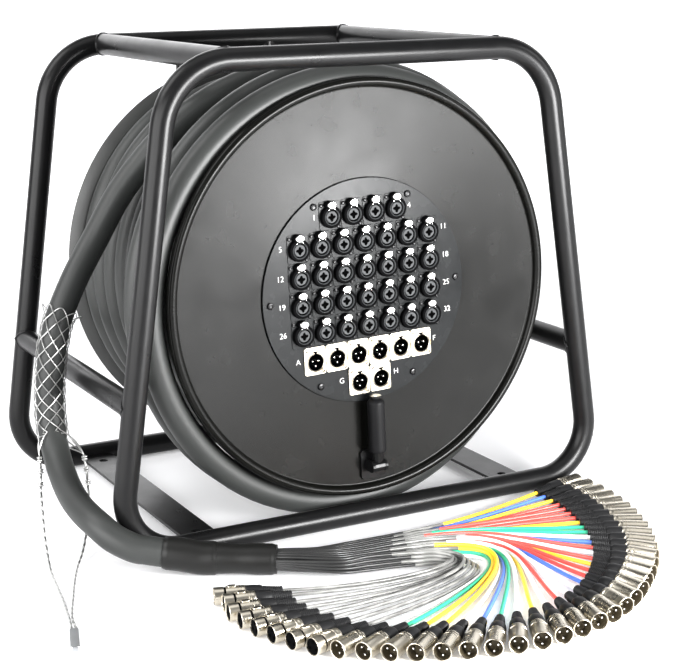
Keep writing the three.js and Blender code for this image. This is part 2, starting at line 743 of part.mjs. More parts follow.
const large_start = run_end.clone().addScaledVector(sleeve_heading, face_gap);
const large_sleeve = [
  large_start, ...squareTo(large_start, sleeve_heading, 1),
  ...squareTo(sleeve_joint, tail_heading, -1).reverse(), sleeve_joint,
];
const large_tube = alongPath(large_sleeve, large_sleeve_diameter, sleeve_sides, large_sleeve_steps);
addPart('sleeve_large', large_tube, finishes.boot_rubber);

const small_start = sleeve_joint.clone().addScaledVector(tail_heading, face_gap);
const small_sleeve = [small_start, ...squareTo(small_start, tail_heading, 1), breakout];
const small_tube = alongPath(small_sleeve, small_sleeve_diameter, sleeve_sides, small_sleeve_steps);
addPart('sleeve_small', small_tube, finishes.boot_rubber);

// Pulling grip: the woven sleeve round the free run, its two rope legs and the clip that joins them.
const run_curve = new THREE.CatmullRomCurve3(run_points, false, 'centripetal');
const grip_points = Array.from({ length: grip_sleeve_points }, (_, i) => (
  run_curve.getPointAt(grip_start_share + (i / (grip_sleeve_points - 1)) * (grip_end_share - grip_start_share))
));
const grip_sleeve = alongPath(grip_points, grip_sleeve_diameter, sleeve_sides, grip_sleeve_steps, grip_sleeve_bore);
addPart('pulling_grip', grip_sleeve, finishes.steel);

// Rope legs: from the gathered strands at the foot of the grip, down to the floor and out to the clip.
const clip_place = new THREE.Vector3(-394, -312, clip_thickness / 2 + face_gap);
const clip_heading = new THREE.Vector3(-0.3, -0.954, 0).normalize();
const clip_side = new THREE.Vector3(-clip_heading.y, clip_heading.x, 0);
const rope_rest = rope_diameter / 2 + face_gap;
const rope_routes = {
  left: [[-335.8, -27.5, 130], [-336.8, -37, 117], [-339, -52, 104], [-341, -60, 82], [-345, -70, 64],
    [-350, -88, 46], [-356, -110, 28], [-361, -134, 11],
    [-366, -160, 3], [-372, -195, 2.4], [-380, -240, 2.4], [-389, -284, 2.4]],
  right: [[-296.9, -27.5, 130], [-295.2, -37, 115], [-289, -52, 92], [-290, -60, 76], [-292, -70, 60],
    [-298, -86, 40], [-308, -106, 22], [-322, -132, 9],
    [-338, -160, 3], [-353, -195, 2.4], [-368, -234, 2.4], [-386, -284, 2.4]],
};
for (const [side, offset] of [['left', 1], ['right', -1]]) {
  const meets = clip_place.clone().setZ(rope_rest).addScaledVector(clip_side, offset * -clip_width / 4);
  meets.addScaledVector(clip_heading, -face_gap);
  const route = rope_routes[side].map((point) => new THREE.Vector3(...point));
  route.push(...squareTo(meets, clip_heading, -1 / 3).reverse(), meets);
  addPart(`rope_${side}`, alongPath(route, rope_diameter, rope_sides, rope_steps), finishes.steel);
}

const clip = new THREE.BoxGeometry(clip_width, clip_length, clip_thickness, 1, 1, 1);
clip.translate(0, -clip_length / 2, 0).rotateZ(Math.atan2(clip_heading.x, -clip_heading.y));
addPart('rope_clip', clip.translate(...clip_place.toArray()), finishes.steel);

// Tails: five groups of eight. A group leaves the breakout as one slice, and each tail runs over the floor
// to its plug in a fan round the breakout's far side.
const tail_radius = tail_diameter / 2;
const tail_count = tail_groups * tails_per_group;
const tail_rest = tail_radius + face_gap;
const sideways = new THREE.Vector3(-tail_heading.y, tail_heading.x, 0);
const throat_share = [-0.246, -0.147];
const throat_lead_share = 0.35;
const lead_level_share = 0.9;
const grid_height = grid_rows * tail_pitch;
const grid_pitch = 2 * tail_pitch + slice_gap;
const upright = new THREE.Vector3(0, 0, 1);
function fanPoint(x_share, y_share, z) {
  return new THREE.Vector3(fan_centre[0] + x_share * fan_radius, fan_centre[1] + y_share * fan_radius, z);
}

function plugPlace(index) {
  const place = index / (tail_count - 1);
  const angle = (fan_first_angle + place * (fan_last_angle - fan_first_angle)) * degree;
  const radius = fan_radius * between(fan_radius_shares, place);
  const turn = angle + between(fan_skew_shares, place) * degree;
  const face = new THREE.Vector3(
    fan_centre[0] + radius * Math.cos(angle), fan_centre[1] + radius * Math.sin(angle), plug_height,
  );
  return { face, turn, out: new THREE.Vector3(Math.cos(turn), Math.sin(turn), 0) };
}

// A group's place across the bundle, from -2 for the front one to 2 for the one beside the frame.
function groupPlace(group) {
  return group - (tail_groups - 1) / 2;
}

// The gathered part of a group: from the round breakout to a flat grid of two columns of tails.
function trunkStations(group) {
  const across = groupPlace(group) * slice_pitch;
  const start = breakout.clone().addScaledVector(tail_heading, face_gap).addScaledVector(sideways, across);
  const clear = start.clone().addScaledVector(tail_heading, breakout_length);
  const throat = fanPoint(...throat_share, grid_height / 2 + tail_rest);
  throat.y += groupPlace(group) * grid_pitch;
  const before = throat.clone().lerp(clear, throat_lead_share).setY(throat.y);
  return new THREE.CatmullRomCurve3([start, clear, before, throat], false, 'centripetal').getSpacedPoints(trunk_steps);
}

function trunkShape(group) {
  const offset = groupPlace(group) * slice_pitch;
  const first_height = 2 * Math.sqrt(snake_radius * snake_radius - offset * offset);
  const stations = trunkStations(group);
  const corners = [];
  const faces = [];
  stations.forEach((station, i) => {
    const step = i / trunk_steps;
    const width = slice_pitch - slice_gap + step * step * (grid_pitch - slice_pitch);
    const height = (1 - step) * first_height + step * grid_height;
    const ahead = new THREE.Vector3(1, 0, 0);
    const heading = i === trunk_steps ? ahead : tail_heading.clone().lerp(ahead, step);
    const beside = new THREE.Vector3(-heading.y, heading.x, 0).normalize();
    for (const [u, v] of [[-1, -1], [1, -1], [1, 1], [-1, 1]]) {
      const corner = station.clone().addScaledVector(beside, (u * width) / 2);
      corners.push(corner.x, corner.y, corner.z + (v * height) / 2);
    }
  });
  for (let i = 0; i < trunk_steps; i += 1) {
    for (let k = 0; k < 4; k += 1) {
      const [here, next] = [4 * i + k, 4 * i + ((k + 1) % 4)];
      faces.push(here, next, here + 4, next, next + 4, here + 4);
    }
  }
  const last = 4 * trunk_steps;
  faces.push(0, 2, 1, 0, 3, 2, last, last + 1, last + 2, last, last + 2, last + 3);
  const geometry = new THREE.BufferGeometry();
  geometry.setAttribute('position', new THREE.Float32BufferAttribute(corners, 3));
  geometry.setIndex(faces);
  return geometry;
}

function tailStations(index) {
  const group = Math.floor(index / tails_per_group);
  const member = index % tails_per_group;
  const column = Math.floor(member / grid_rows);
  const level = (group === 0 ? grid_rows - 1 - (member % grid_rows) : member % grid_rows);
  const place = index / (tail_count - 1);
  const { face, out } = plugPlace(index);
  const boot = face.clone().addScaledVector(out, -plug_shell_length - plug_boot_length);
  const throat = fanPoint(...throat_share, tail_rest + tail_radius + (level + 0.25) * tail_pitch);
  throat.y += groupPlace(group) * grid_pitch + (column - 0.5) * tail_pitch;
  const start = throat.clone();
  start.x -= tail_diameter;
  const lead = throat.clone();
  lead.x += fan_radius * between(tail_lead_shares, place);
  lead.y -= fan_radius * between(tail_lead_shares, place) * between(tail_drift_shares, place);
  lead.z = tail_rest + level * tail_pitch * lead_level_share;
  const back_reach = fan_radius * between(tail_return_shares, place);
  const back = boot.clone().addScaledVector(out, -back_reach).setZ(tail_rest);
  const turn = new THREE.CubicBezierCurve3(throat, lead, back, boot);
  const inside = boot.clone().addScaledVector(out, plug_boot_length / 4);
  return [start, ...turn.getSpacedPoints(group === 0 ? female_steps : male_steps), inside];
}

function plugShape(index) {
  const { face, turn } = plugPlace(index);
  const boot_end = plug_shell_length + plug_boot_length;
  const outline = [
    [0, 0], [plug_diameter / 2, 0], [plug_diameter / 2, plug_shell_length], [plug_boot_end_diameter / 2, boot_end],
    [0, boot_end],
  ];
  const body = revolve(outline, plug_sides).rotateZ(quarter_turn + turn);
  return body.translate(...face.toArray());
}

for (let group = 0; group < tail_groups; group += 1) {
  const members = Array.from({ length: tails_per_group }, (_, k) => group * tails_per_group + k);
  const cords = members.map((index) => sweep(tailStations(index), tail_radius, tail_sides, () => upright));
  addPart(`tails_${group + 1}`, joined([trunkShape(group), ...cords, ...members.map(plugShape)]), finishes.tail_jacket);
}

export default stage_box_snake;
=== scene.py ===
"""Stage box snake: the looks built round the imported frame. Metres, +Z up, the socket panel faces -Y."""

import logging
import math
from dataclasses import dataclass
from enum import Enum
from typing import Callable, Iterable, Sequence

import bmesh
import bpy
import numpy as np
from mathutils import Matrix
from numpy.typing import NDArray

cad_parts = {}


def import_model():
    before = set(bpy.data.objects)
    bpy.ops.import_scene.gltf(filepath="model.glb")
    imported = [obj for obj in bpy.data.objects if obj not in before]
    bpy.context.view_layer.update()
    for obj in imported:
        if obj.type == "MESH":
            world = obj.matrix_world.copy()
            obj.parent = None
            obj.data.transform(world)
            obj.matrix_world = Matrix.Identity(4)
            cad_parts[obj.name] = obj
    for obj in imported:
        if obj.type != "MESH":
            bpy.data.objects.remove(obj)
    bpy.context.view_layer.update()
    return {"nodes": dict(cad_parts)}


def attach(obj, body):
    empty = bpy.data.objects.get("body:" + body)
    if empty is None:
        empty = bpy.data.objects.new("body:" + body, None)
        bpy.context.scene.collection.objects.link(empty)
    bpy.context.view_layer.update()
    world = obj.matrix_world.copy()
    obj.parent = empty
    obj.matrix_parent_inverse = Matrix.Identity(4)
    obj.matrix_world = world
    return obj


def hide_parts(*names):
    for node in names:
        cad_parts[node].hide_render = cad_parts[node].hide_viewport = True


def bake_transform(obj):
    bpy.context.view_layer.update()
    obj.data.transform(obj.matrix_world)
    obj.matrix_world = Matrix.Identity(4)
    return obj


Array = NDArray[np.float64]
Piece = bpy.types.Object
Tree = bpy.types.NodeTree
Socket = bpy.types.NodeSocket
Pair = tuple[float, float]
Triple = tuple[float, float, float]
MM = 0.001
TURN = 2 * math.pi
LOG = logging.getLogger("stage_box_snake")

AXIS_HEIGHT = 0.262
DRUM_REST_TURN = math.radians(2.2)
TUBE_RADIUS = 0.0125
HOOP_Y = 0.182
DRUM_FRONT = -0.167
DRUM_REAR = 0.1305
FLANGE_SHEET = 0.002
FLANGE_RADIUS = 0.232
PANEL_FRONT = -0.1718
SNAKE_RADIUS = 0.015
FLOOR_GAP = 0.0003
SMOOTH_ANGLE = math.radians(38)
ALONG_SCALE = (1.0, 1.0, 0.12)
PATCH_GRAINS = 25
ROUGHNESS_SPREAD = 0.12
BUMP_STRENGTH = 0.5
PIN_ANGLES = (-90.0, -210.0, -330.0)
HOLE_ANGLES = (90.0, 210.0, 330.0)


# Finishes

@dataclass(frozen=True)
class Finish:
    """One finish: its colour and gloss, how far both vary, and the size and depth of its fine bumps."""

    name: str
    colour: Triple
    roughness: float
    metallic: float = 0.0
    grain_size: float = 0.001
    grain_depth: float = 0.00005
    spread: float = 0.08
    specular: float = 0.5
    along: bool = False

    def material(self) -> bpy.types.Material:
        """Builds the node material once and hands the same one out later.

        Returns:
            The material, with colour spread, roughness spread and a fine bump.
        """
        known = bpy.data.materials.get(f"{self.name}_finish")
        if known is not None:
            return known
        material = bpy.data.materials.new(f"{self.name}_finish")
        material.use_nodes = True
        tree = material.node_tree
        shader = tree.nodes["Principled BSDF"]
        shader.inputs["Metallic"].default_value = self.metallic
        shader.inputs["Specular IOR Level"].default_value = self.specular
        place = self._place(tree)
        coarse = noise(tree, place, 1 / (self.grain_size * PATCH_GRAINS), 3.0)
        fine = noise(tree, place, 1 / self.grain_size, 4.0)
        low = tuple(c * (1 - self.spread) for c in self.colour)
        high = tuple(min(1.0, c * (1 + self.spread)) for c in self.colour)
        tint = ramp(tree, coarse, (0.35, 0.65), (low, high))
        tree.links.new(self._zoned(tree, tint), shader.inputs["Base Color"])
        self._lit(tree, shader)
        ends = (self.roughness * (1 - ROUGHNESS_SPREAD), min(1.0, self.roughness * (1 + ROUGHNESS_SPREAD)))
        rough = stretch(tree, coarse, *ends)
        tree.links.new(rough, shader.inputs["Roughness"])
        bump = added(tree, "ShaderNodeBump", {
            "Strength": BUMP_STRENGTH, "Distance": self.grain_depth, "Height": fine,
        })
        tree.links.new(bump.outputs["Normal"], shader.inputs["Normal"])
        return material

    def _lit(self, tree: Tree, shader: bpy.types.Node) -> None:
        """Lets a finish glow; a plain one doesn't."""

    def _zoned(self, tree: Tree, tint: Socket) -> Socket:
        """Lets a finish change its colour along the piece; a plain one has the same all over.

        Args:
            tree: The material's node tree.
            tint: The finish's own colour.

        Returns:
            The colour socket.
        """
        return tint

    def _place(self, tree: Tree) -> Socket:
        """Picks what the grain follows: the object, or the length of a cord.

        Args:
            tree: The material's node tree.

        Returns:
            The vector socket that the noises read.
        """
        if not self.along:
            return tree.nodes.new("ShaderNodeTexCoord").outputs["Object"]
        wrap = tree.nodes.new("ShaderNodeAttribute")
        wrap.attribute_name = "wrap"
        mapping = added(tree, "ShaderNodeMapping", {"Vector": wrap.outputs["Vector"], "Scale": ALONG_SCALE})
        return mapping.outputs["Vector"]


@dataclass(frozen=True)
class TailFinish(Finish):
    """A tail: bare black core, then a smoky clear sheath, then the coloured sleeve.

    The points' "zone" is 0 on the core, 1 on the sheath and 2 on the sleeve.
    """

    core: Triple = (0.012, 0.012, 0.012)
    sheath: Triple = (0.105, 0.105, 0.100)
    streak_scale: float = 420.0
    sheath_gain: float = 2.4
    core_gain: float = 1.6

    def _zoned(self, tree: Tree, tint: Socket) -> Socket:
        """Picks the colour by zone, with paler streaks on the core and the sheath.

        Args:
            tree: The material's node tree.
            tint: The sleeve's colour.

        Returns:
            The colour socket.
        """
        zone = tree.nodes.new("ShaderNodeAttribute")
        zone.attribute_name = "zone"
        streaks = noise(tree, self._place(tree), self.streak_scale, 2.0)
        sheath = ramp(tree, streaks, (0.42, 0.62), (self.sheath, [c * self.sheath_gain for c in self.sheath]))
        dark = ramp(tree, streaks, (0.3, 0.7), (self.core, [c * self.core_gain for c in self.core]))
        first = blend_colours(tree, step(tree, zone.outputs["Fac"], 0.5), dark, sheath)
        return blend_colours(tree, step(tree, zone.outputs["Fac"], 1.5), first, tint)


@dataclass(frozen=True)
class FloorFinish(Finish):
    """The pale floor: it glows a little near the object, and more the farther away it is."""

    near: Pair = (0.9, 0.20)
    far: Pair = (2.6, 1.10)

    def _lit(self, tree: Tree, shader: bpy.types.Node) -> None:
        """Raises the glow with the distance from the object's middle, by a straight line between two distances.

        Args:
            tree: The material's node tree.
            shader: The shader that glows.
        """
        reach = added(tree, "ShaderNodeVectorMath", {0: self._place(tree)})
        reach.operation = "LENGTH"
        share = added(tree, "ShaderNodeMapRange", {
            "Value": reach.outputs["Value"], "From Min": self.near[0], "To Min": self.near[1],
            "From Max": self.far[0], "To Max": self.far[1],
        })
        shader.inputs["Emission Color"].default_value = (*self.colour, 1.0)
        tree.links.new(share.outputs["Result"], shader.inputs["Emission Strength"])


def added(tree: Tree, kind: str, inputs: dict[str | int, object]) -> bpy.types.Node:
    """Adds a node with its inputs linked to sockets or set to values.

    Args:
        tree: The material's node tree.
        kind: The node's type.
        inputs: A socket or a value for each input, by name or by number.

    Returns:
        The node.
    """
    node = tree.nodes.new(kind)
    for name, given in inputs.items():
        if isinstance(given, Socket):
            tree.links.new(given, node.inputs[name])
        else:
            node.inputs[name].default_value = given
    return node


def step(tree: Tree, value: Socket, edge: float) -> Socket:
    """Adds a step: 1 where the value is over the edge and 0 elsewhere.

    Args:
        tree: The material's node tree.
        value: The socket that is tested.
        edge: The value where the step is.

    Returns:
        The step's socket.
    """
    node = added(tree, "ShaderNodeMath", {0: value, 1: edge})
    node.operation = "GREATER_THAN"
    return node.outputs["Value"]


def blend_colours(tree: Tree, share: Socket, first: Socket, second: Socket) -> Socket:
    """Mixes two colours by a share.

    Args:
        tree: The material's node tree.
        share: 0 for the first colour, 1 for the second.
        first: The first colour.
        second: The second colour.

    Returns:
        The mixed colour.
    """
    node = tree.nodes.new("ShaderNodeMix")
    node.data_type = "RGBA"
    tree.links.new(share, node.inputs[0])
    tree.links.new(first, node.inputs[6])
    tree.links.new(second, node.inputs[7])
    return node.outputs[2]


def noise(tree: Tree, place: Socket, scale: float, detail: float) -> Socket:
    """Adds a noise that reads `place` and returns its value socket."""
    return added(tree, "ShaderNodeTexNoise", {"Vector": place, "Scale": scale, "Detail": detail}).outputs["Fac"]


def ramp(tree: Tree, value: Socket, stops: Pair, colours: Sequence[Sequence[float]]) -> Socket:
    """Adds a ramp between two colours.

    Args:
        tree: The material's node tree.
        value: The socket that picks the place on the ramp.
        stops: The two places on the ramp.
        colours: The colour at each.

    Returns:
        The colour socket.
    """
    node = tree.nodes.new("ShaderNodeValToRGB")
    for element, stop, colour in zip(node.color_ramp.elements, stops, colours):
        element.position = stop
        element.color = (*colour, 1.0)
    tree.links.new(value, node.inputs["Fac"])
    return node.outputs["Color"]


def stretch(tree: Tree, value: Socket, low: float, high: float) -> Socket:
    """Maps the middle of a noise onto the range from `low` to `high`."""
    ends = {"Value": value, "From Min": 0.3, "From Max": 0.7, "To Min": low, "To Max": high}
    return added(tree, "ShaderNodeMapRange", ends).outputs["Result"]


FRAME_COAT = Finish("frame_powder_coat", (0.0045, 0.0045, 0.0047), 0.31, grain_size=0.0011, specular=0.20)
DRUM_COAT = Finish("drum_powder_coat", (0.0032, 0.0032, 0.0028), 0.25, grain_size=0.0012, specular=0.12)
# Painted light: the rear flange has the drum's black powder coat, made lighter and glossier here for the light that
# falls on its flared rim.
REAR_PAINTED_LIGHT_COAT = Finish("drum_rear_coat_painted_light", (0.026, 0.027, 0.026), 0.45, grain_size=0.0013)
PANEL_COAT = Finish("panel_coat", (0.0058, 0.0065, 0.0069), 0.26, grain_size=0.0008, specular=0.12)
SOCKET_BLACK = Finish("socket_black", (0.0022, 0.0022, 0.0024), 0.50, grain_size=0.0006, specular=0.006)
SOCKET_INSERT = Finish("socket_insert", (0.050, 0.052, 0.054), 0.50, grain_size=0.0005, specular=0.12)
# Painted shade: a near-black with no gloss, set in holes, recesses and gaps where shade falls.
PAINTED_SHADE_BLACK = Finish("painted_shade_black", (0.001, 0.001, 0.001), 0.9, specular=0.0)
NICKEL = Finish("nickel", (0.66, 0.61, 0.51), 0.27, 1.0, 0.0022, 0.000004, 0.04)
BRIGHT_TAB = Finish("bright_tab", (0.80, 0.79, 0.77), 0.20, 1.0, 0.0022, 0.000004, 0.02)
STEEL = Finish("plated_steel", (0.42, 0.43, 0.44), 0.36, 1.0, 0.0008, 0.00002, 0.06)
WIRE = Finish("steel_wire", (0.50, 0.50, 0.49), 0.34, 1.0, 0.0005, 0.00002, 0.10)
SNAKE_JACKET = Finish(
    "snake_jacket", (0.0235, 0.0250, 0.0240), 0.46, grain_size=0.0016, grain_depth=0.00012, specular=0.35, along=True
)
SLEEVE_BLACK = Finish("shrink_sleeve", (0.0070, 0.0070, 0.0066), 0.42, grain_size=0.002, specular=0.24, along=True)
BOOT_RUBBER = Finish("boot_rubber", (0.0065, 0.0065, 0.0070), 0.50, grain_size=0.0007, specular=0.25)
GRIP_RUBBER = Finish("grip_rubber", (0.005, 0.005, 0.0055), 0.50, grain_size=0.0007, specular=0.12)
SCREW_BLACK = Finish("screw_black", (0.0045, 0.0045, 0.0050), 0.26, grain_size=0.0006, specular=0.25)
LETTER_WHITE = Finish("letter_white", (0.72, 0.72, 0.70), 0.6, grain_size=0.0006)
PIN_STEEL = Finish("pin_silver", (0.88, 0.87, 0.84), 0.20, 1.0, 0.0006, 0.000004, 0.03)
# Painted shade: the dark warm brown of nickel in shade, lining the inside of a male plug's barrel.
MOUTH_PAINTED_SHADE = Finish("mouth_painted_shade", (0.070, 0.056, 0.034), 0.50, grain_size=0.0006, specular=0.2)
# Painted reflection: the golden-brown that the nickel sockets' rounded edges mirror from their surroundings.
PAINTED_REFLECTION_BROWN = Finish("painted_reflection_brown", (0.42, 0.30, 0.13), 0.45, 0.4, grain_size=0.0006)


class TailColour(Enum):
    """The sleeve colours of the tails."""

    GREY = (0.20, 0.20, 0.19)
    RED = (0.72, 0.075, 0.060)
    GREEN = (0.028, 0.40, 0.22)
    YELLOW = (0.90, 0.58, 0.035)
    BLUE = (0.070, 0.165, 0.62)
    WHITE = (0.80, 0.81, 0.80)


TAIL_LETTERS = {
    "w": TailColour.WHITE, "g": TailColour.GREEN, "y": TailColour.YELLOW, "b": TailColour.BLUE, "r": TailColour.RED,
}


# Surfaces worked out as whole arrays

@dataclass
class Surface:
    """Points and faces of a mesh.

    A cord's points can also have a `wrap` vector, which its pattern follows, and a `zone` number.
    """

    points: Array
    faces: list[Array]
    wrap: Array | None = None
    zone: Array | None = None

    def moved(self, change: Callable[[Array], Array]) -> "Surface":
        """Returns the surface with its points put through `change`."""
        return Surface(change(self.points), self.faces, self.wrap, self.zone)

    def at(self, x: float, z: float) -> "Surface":
        """Returns the surface moved along by x and z."""
        return self.moved(lambda points: points + np.array([x, 0.0, z]))


def grid_faces(rows: int, columns: int, ring_rows: bool, ring_columns: bool) -> Array:
    """Quads of a grid of rows and columns: corner (i, k) is point i * columns + k.

    Args:
        rows: Number of rows of points.
        columns: Number of points in a row.
        ring_rows: True where the last row joins the first.
        ring_columns: True where the last point of a row joins its first.

    Returns:
        One quad for each cell.
    """
    i = np.arange(rows if ring_rows else rows - 1)[:, None]
    k = np.arange(columns if ring_columns else columns - 1)[None, :]
    below, beside = (i + 1) % rows, (k + 1) % columns
    corners = [i * columns + k, i * columns + beside, below * columns + beside, below * columns + k]
    return np.stack([np.broadcast_to(c, (i.size, k.size)).ravel() for c in corners], axis=1)


def joined(surfaces: Iterable[Surface]) -> Surface:
    """Puts surfaces into one: all their points in turn, and their faces with the numbers moved on.

    Args:
        surfaces: The surfaces; `wrap` and `zone` are kept only where all of them have one.

    Returns:
        The one surface.
    """
    surfaces = list(surfaces)
    offsets = np.cumsum([0] + [len(s.points) for s in surfaces[:-1]])
    faces = [f + offset for s, offset in zip(surfaces, offsets) for f in s.faces]
    wraps, zones = [s.wrap for s in surfaces], [s.zone for s in surfaces]
    wrap = None if any(w is None for w in wraps) else np.concatenate(wraps)
    zone = None if any(z is None for z in zones) else np.concatenate(zones)
    return Surface(np.concatenate([s.points for s in surfaces]), faces, wrap, zone)


def curve_through(points: Array, spacing: float) -> Array:
    """A centripetal Catmull-Rom curve through the points, at even steps along its length.

    Each span from p1 to p2 is the cubic with the tangents that the square roots of the distances
    to the neighbours give; the ends are carried on in line.

    Args:
        points: The points that the curve goes through.
        spacing: The wanted step along the curve.

    Returns:
        The points of the curve.
    """
    p = np.asarray(points, float)
    p = np.concatenate([2 * p[:1] - p[1:2], p, 2 * p[-1:] - p[-2:-1]])
    p0, p1, p2, p3 = p[:-3], p[1:-2], p[2:-1], p[3:]
    steps = np.sqrt(np.maximum(np.linalg.norm(np.diff(p, axis=0), axis=1), 1e-9))[:, None]
    d0, d1, d2 = steps[:-2], steps[1:-1], steps[2:]
    m1 = ((p1 - p0) / d0 - (p2 - p0) / (d0 + d1) + (p2 - p1) / d1) * d1
    m2 = ((p2 - p1) / d1 - (p3 - p1) / (d1 + d2) + (p3 - p2) / d2) * d1
    t = np.linspace(0, 1, 33)[None, :-1, None]
    a, b = p1[:, None], p2[:, None]
    h = (2 * t**3 - 3 * t**2 + 1) * a + (t**3 - 2 * t**2 + t) * m1[:, None]
    h = h + (3 * t**2 - 2 * t**3) * b + (t**3 - t**2) * m2[:, None]
    dense = np.concatenate([h.reshape(-1, 3), p[-2:-1]])
    reach = reach_along(dense)
    count = max(2, int(round(reach[-1] / spacing)) + 1)
    even = np.linspace(0, reach[-1], count)
    return np.stack([np.interp(even, reach, dense[:, axis]) for axis in range(3)], axis=1)


def reach_along(path: Array) -> Array:
    """The length of a path from its start to each of its stations."""
    return np.concatenate([[0], np.cumsum(np.linalg.norm(np.diff(path, axis=0), axis=1))])


def path_frames(path: Array, closed: bool = False) -> tuple[Array, Array, Array]:
    """Directions along, across and beside a path, turned as little as the path allows.

    The across direction of each station is the one before, less its part along the new heading.

    Args:
        path: The stations.
        closed: True where the path runs back into its start.

    Returns:
        The along, across and beside directions at each station.
    """
    along = np.gradient(path, axis=0)
    if closed:
        along = np.roll(path, -1, axis=0) - np.roll(path, 1, axis=0)
    along /= np.linalg.norm(along, axis=1, keepdims=True)
    across = np.empty_like(along)
    seed = np.array([0.0, 0.0, 1.0]) if abs(along[0, 2]) < 0.9 else np.array([0.0, 1.0, 0.0])
    for i, heading in enumerate(along):
        seed = seed - heading * (seed @ heading)
        seed = seed / np.linalg.norm(seed)
        across[i] = seed
    return along, across, np.cross(along, across)


def tube(
    path: Array,
    radius: Array | float,
    sides: int,
    closed: bool = False,
    lobes: int = 0,
    lobe_depth: float = 0.0,
    lobe_pitch: float = 1.0,
) -> Surface:
    """A tube: point (i, k) is path(i) + r(i, k) * (cos a(k) * across(i) + sin a(k) * beside(i)).

    With lobes, r(i, k) = radius(i) * (1 + depth * cos(lobes * (a - turn of the strand at i))).

    Args:
        path: The stations of the centreline.
        radius: One radius, or one for each station.
        sides: Points round the tube.
        closed: True where the path runs back into its start.
        lobes: Number of twisted strands that the section shows.
        lobe_depth: How far the strands stand out, as a share of the radius.
        lobe_pitch: Length of one turn of the strands.

    Returns:
        The closed surface.
    """
    path = np.asarray(path, float)
    reach = reach_along(path)
    radii = np.broadcast_to(np.asarray(radius, float), (len(path),))
    _, across, beside = path_frames(path, closed)
    angle = np.arange(sides) * TURN / sides
    spoke = radii[:, None] * np.ones(sides)[None, :]
    if lobes:
        spoke = spoke * (1 + lobe_depth * np.cos(lobes * angle[None, :] - TURN * reach[:, None] / lobe_pitch))
    ring = np.cos(angle)[None, :, None] * across[:, None] + np.sin(angle)[None, :, None] * beside[:, None]
    points = path[:, None] + spoke[:, :, None] * ring
    wrap = np.stack([
        radii[:, None] * np.cos(angle)[None, :], radii[:, None] * np.sin(angle)[None, :],
        np.broadcast_to(reach[:, None], (len(path), sides)),
    ], axis=2)
    faces = [grid_faces(len(path), sides, closed, True)]
    if not closed:
        faces.append(np.arange(sides)[None, ::-1])
        faces.append((np.arange(sides) + (len(path) - 1) * sides)[None, :])
    return Surface(points.reshape(-1, 3), faces, wrap.reshape(-1, 3))


def ringed(part: Surface, reach: float, angles: Sequence[float]) -> Surface:
    """Copies of a part about +Y, none of them turned: each is moved by reach * (cos a, 0, sin a), in degrees."""
    return joined([part.at(reach * math.cos(a), reach * math.sin(a)) for a in np.radians(angles)])


def revolved(profile: Sequence[Sequence[float]] | Array, segments: int, start: float = 0.0) -> Surface:
    """A closed profile of [radius, along] turned about +Y: (r cos a, start + along, r sin a).

    Args:
        profile: The profile's points in order; it closes on itself.
        segments: Points round the axis.
        start: The y that the profile counts from.

    Returns:
        The closed surface.
    """
    profile = np.asarray(profile, float)
    angle = np.arange(segments) * TURN / segments
    radius, along = profile[:, 0][:, None], start + profile[:, 1][:, None]
    points = np.stack([
        radius * np.cos(angle), np.broadcast_to(along, (len(profile), segments)), radius * np.sin(angle)
    ], axis=2)
    return Surface(points.reshape(-1, 3), [grid_faces(len(profile), segments, True, True)])


def arc(centre: Sequence[float], radius: float, start: float, end: float, count: int) -> list[list[float]]:
    """Points on an arc in degrees: centre + radius * (cos, sin)."""
    angles = np.radians(np.linspace(start, end, count))
    return (np.asarray(centre) + radius * np.stack([np.cos(angles), np.sin(angles)], axis=1)).tolist()


def rounded_outline(width: float, height: float, corner: float, steps: int = 6) -> Array:
    """A rectangle with round corners: four quarter circles joined by straight sides.

    Args:
        width: Its size in X.
        height: Its size in Z.
        corner: The corners' radius.
        steps: Points on each corner.

    Returns:
        The [x, z] points about its middle, anticlockwise.
    """
    w, h = width / 2 - corner, height / 2 - corner
    corners = [((w, h), 0), ((-w, h), 90), ((-w, -h), 180), ((w, -h), 270)]
    return np.concatenate([arc(centre, corner, start, start + 90, steps) for centre, start in corners])


def evenly(outline: Array, count: int) -> Array:
    """Reads a closed outline at even steps along its length, by straight lines between its points.

    Args:
        outline: The outline's points.
        count: How many points are wanted.

    Returns:
        The points.
    """
    closed = np.concatenate([outline, outline[:1]])
    reach = reach_along(closed)
    at = np.arange(count) / count * reach[-1]
    return np.stack([np.interp(at, reach, closed[:, axis]) for axis in range(2)], axis=1)


def slab(outline: Array, front: float, back: float, edge: float) -> Surface:
    """A plate drawn in X and Z between two y levels, with its front edge broken by `edge`.

    Rings of the outline go from the back, forward along the wall and in over the edge:
    ring j is middle + share(j) * (outline - middle) at y(j).

    Args:
        outline: The [x, z] outline, anticlockwise.
        front: The y of the front face, the lower value.
        back: The y of the back face.
        edge: The size of the broken edge.

    Returns:
        The closed surface.
    """
    middle = outline.mean(axis=0)
    away = outline - middle
    reach = np.linalg.norm(away, axis=1, keepdims=True)
    rings = [
        (0.0, back), (0.0, front + edge), (edge * 0.3, front + edge * 0.3), (edge, front), (edge * 1.8, front),
    ]
    levels = [
        np.stack([*(middle + away * (1 - inset / reach)).T, np.full(len(outline), y)], axis=1)
        for inset, y in rings
    ]
    points = np.concatenate(levels)[:, [0, 2, 1]]
    count = len(outline)
    faces = [grid_faces(len(rings), count, False, True)]
    faces.append(np.arange(count)[None, ::-1])
    faces.append((np.arange(count) + (len(rings) - 1) * count)[None, :])
    return Surface(points, faces)


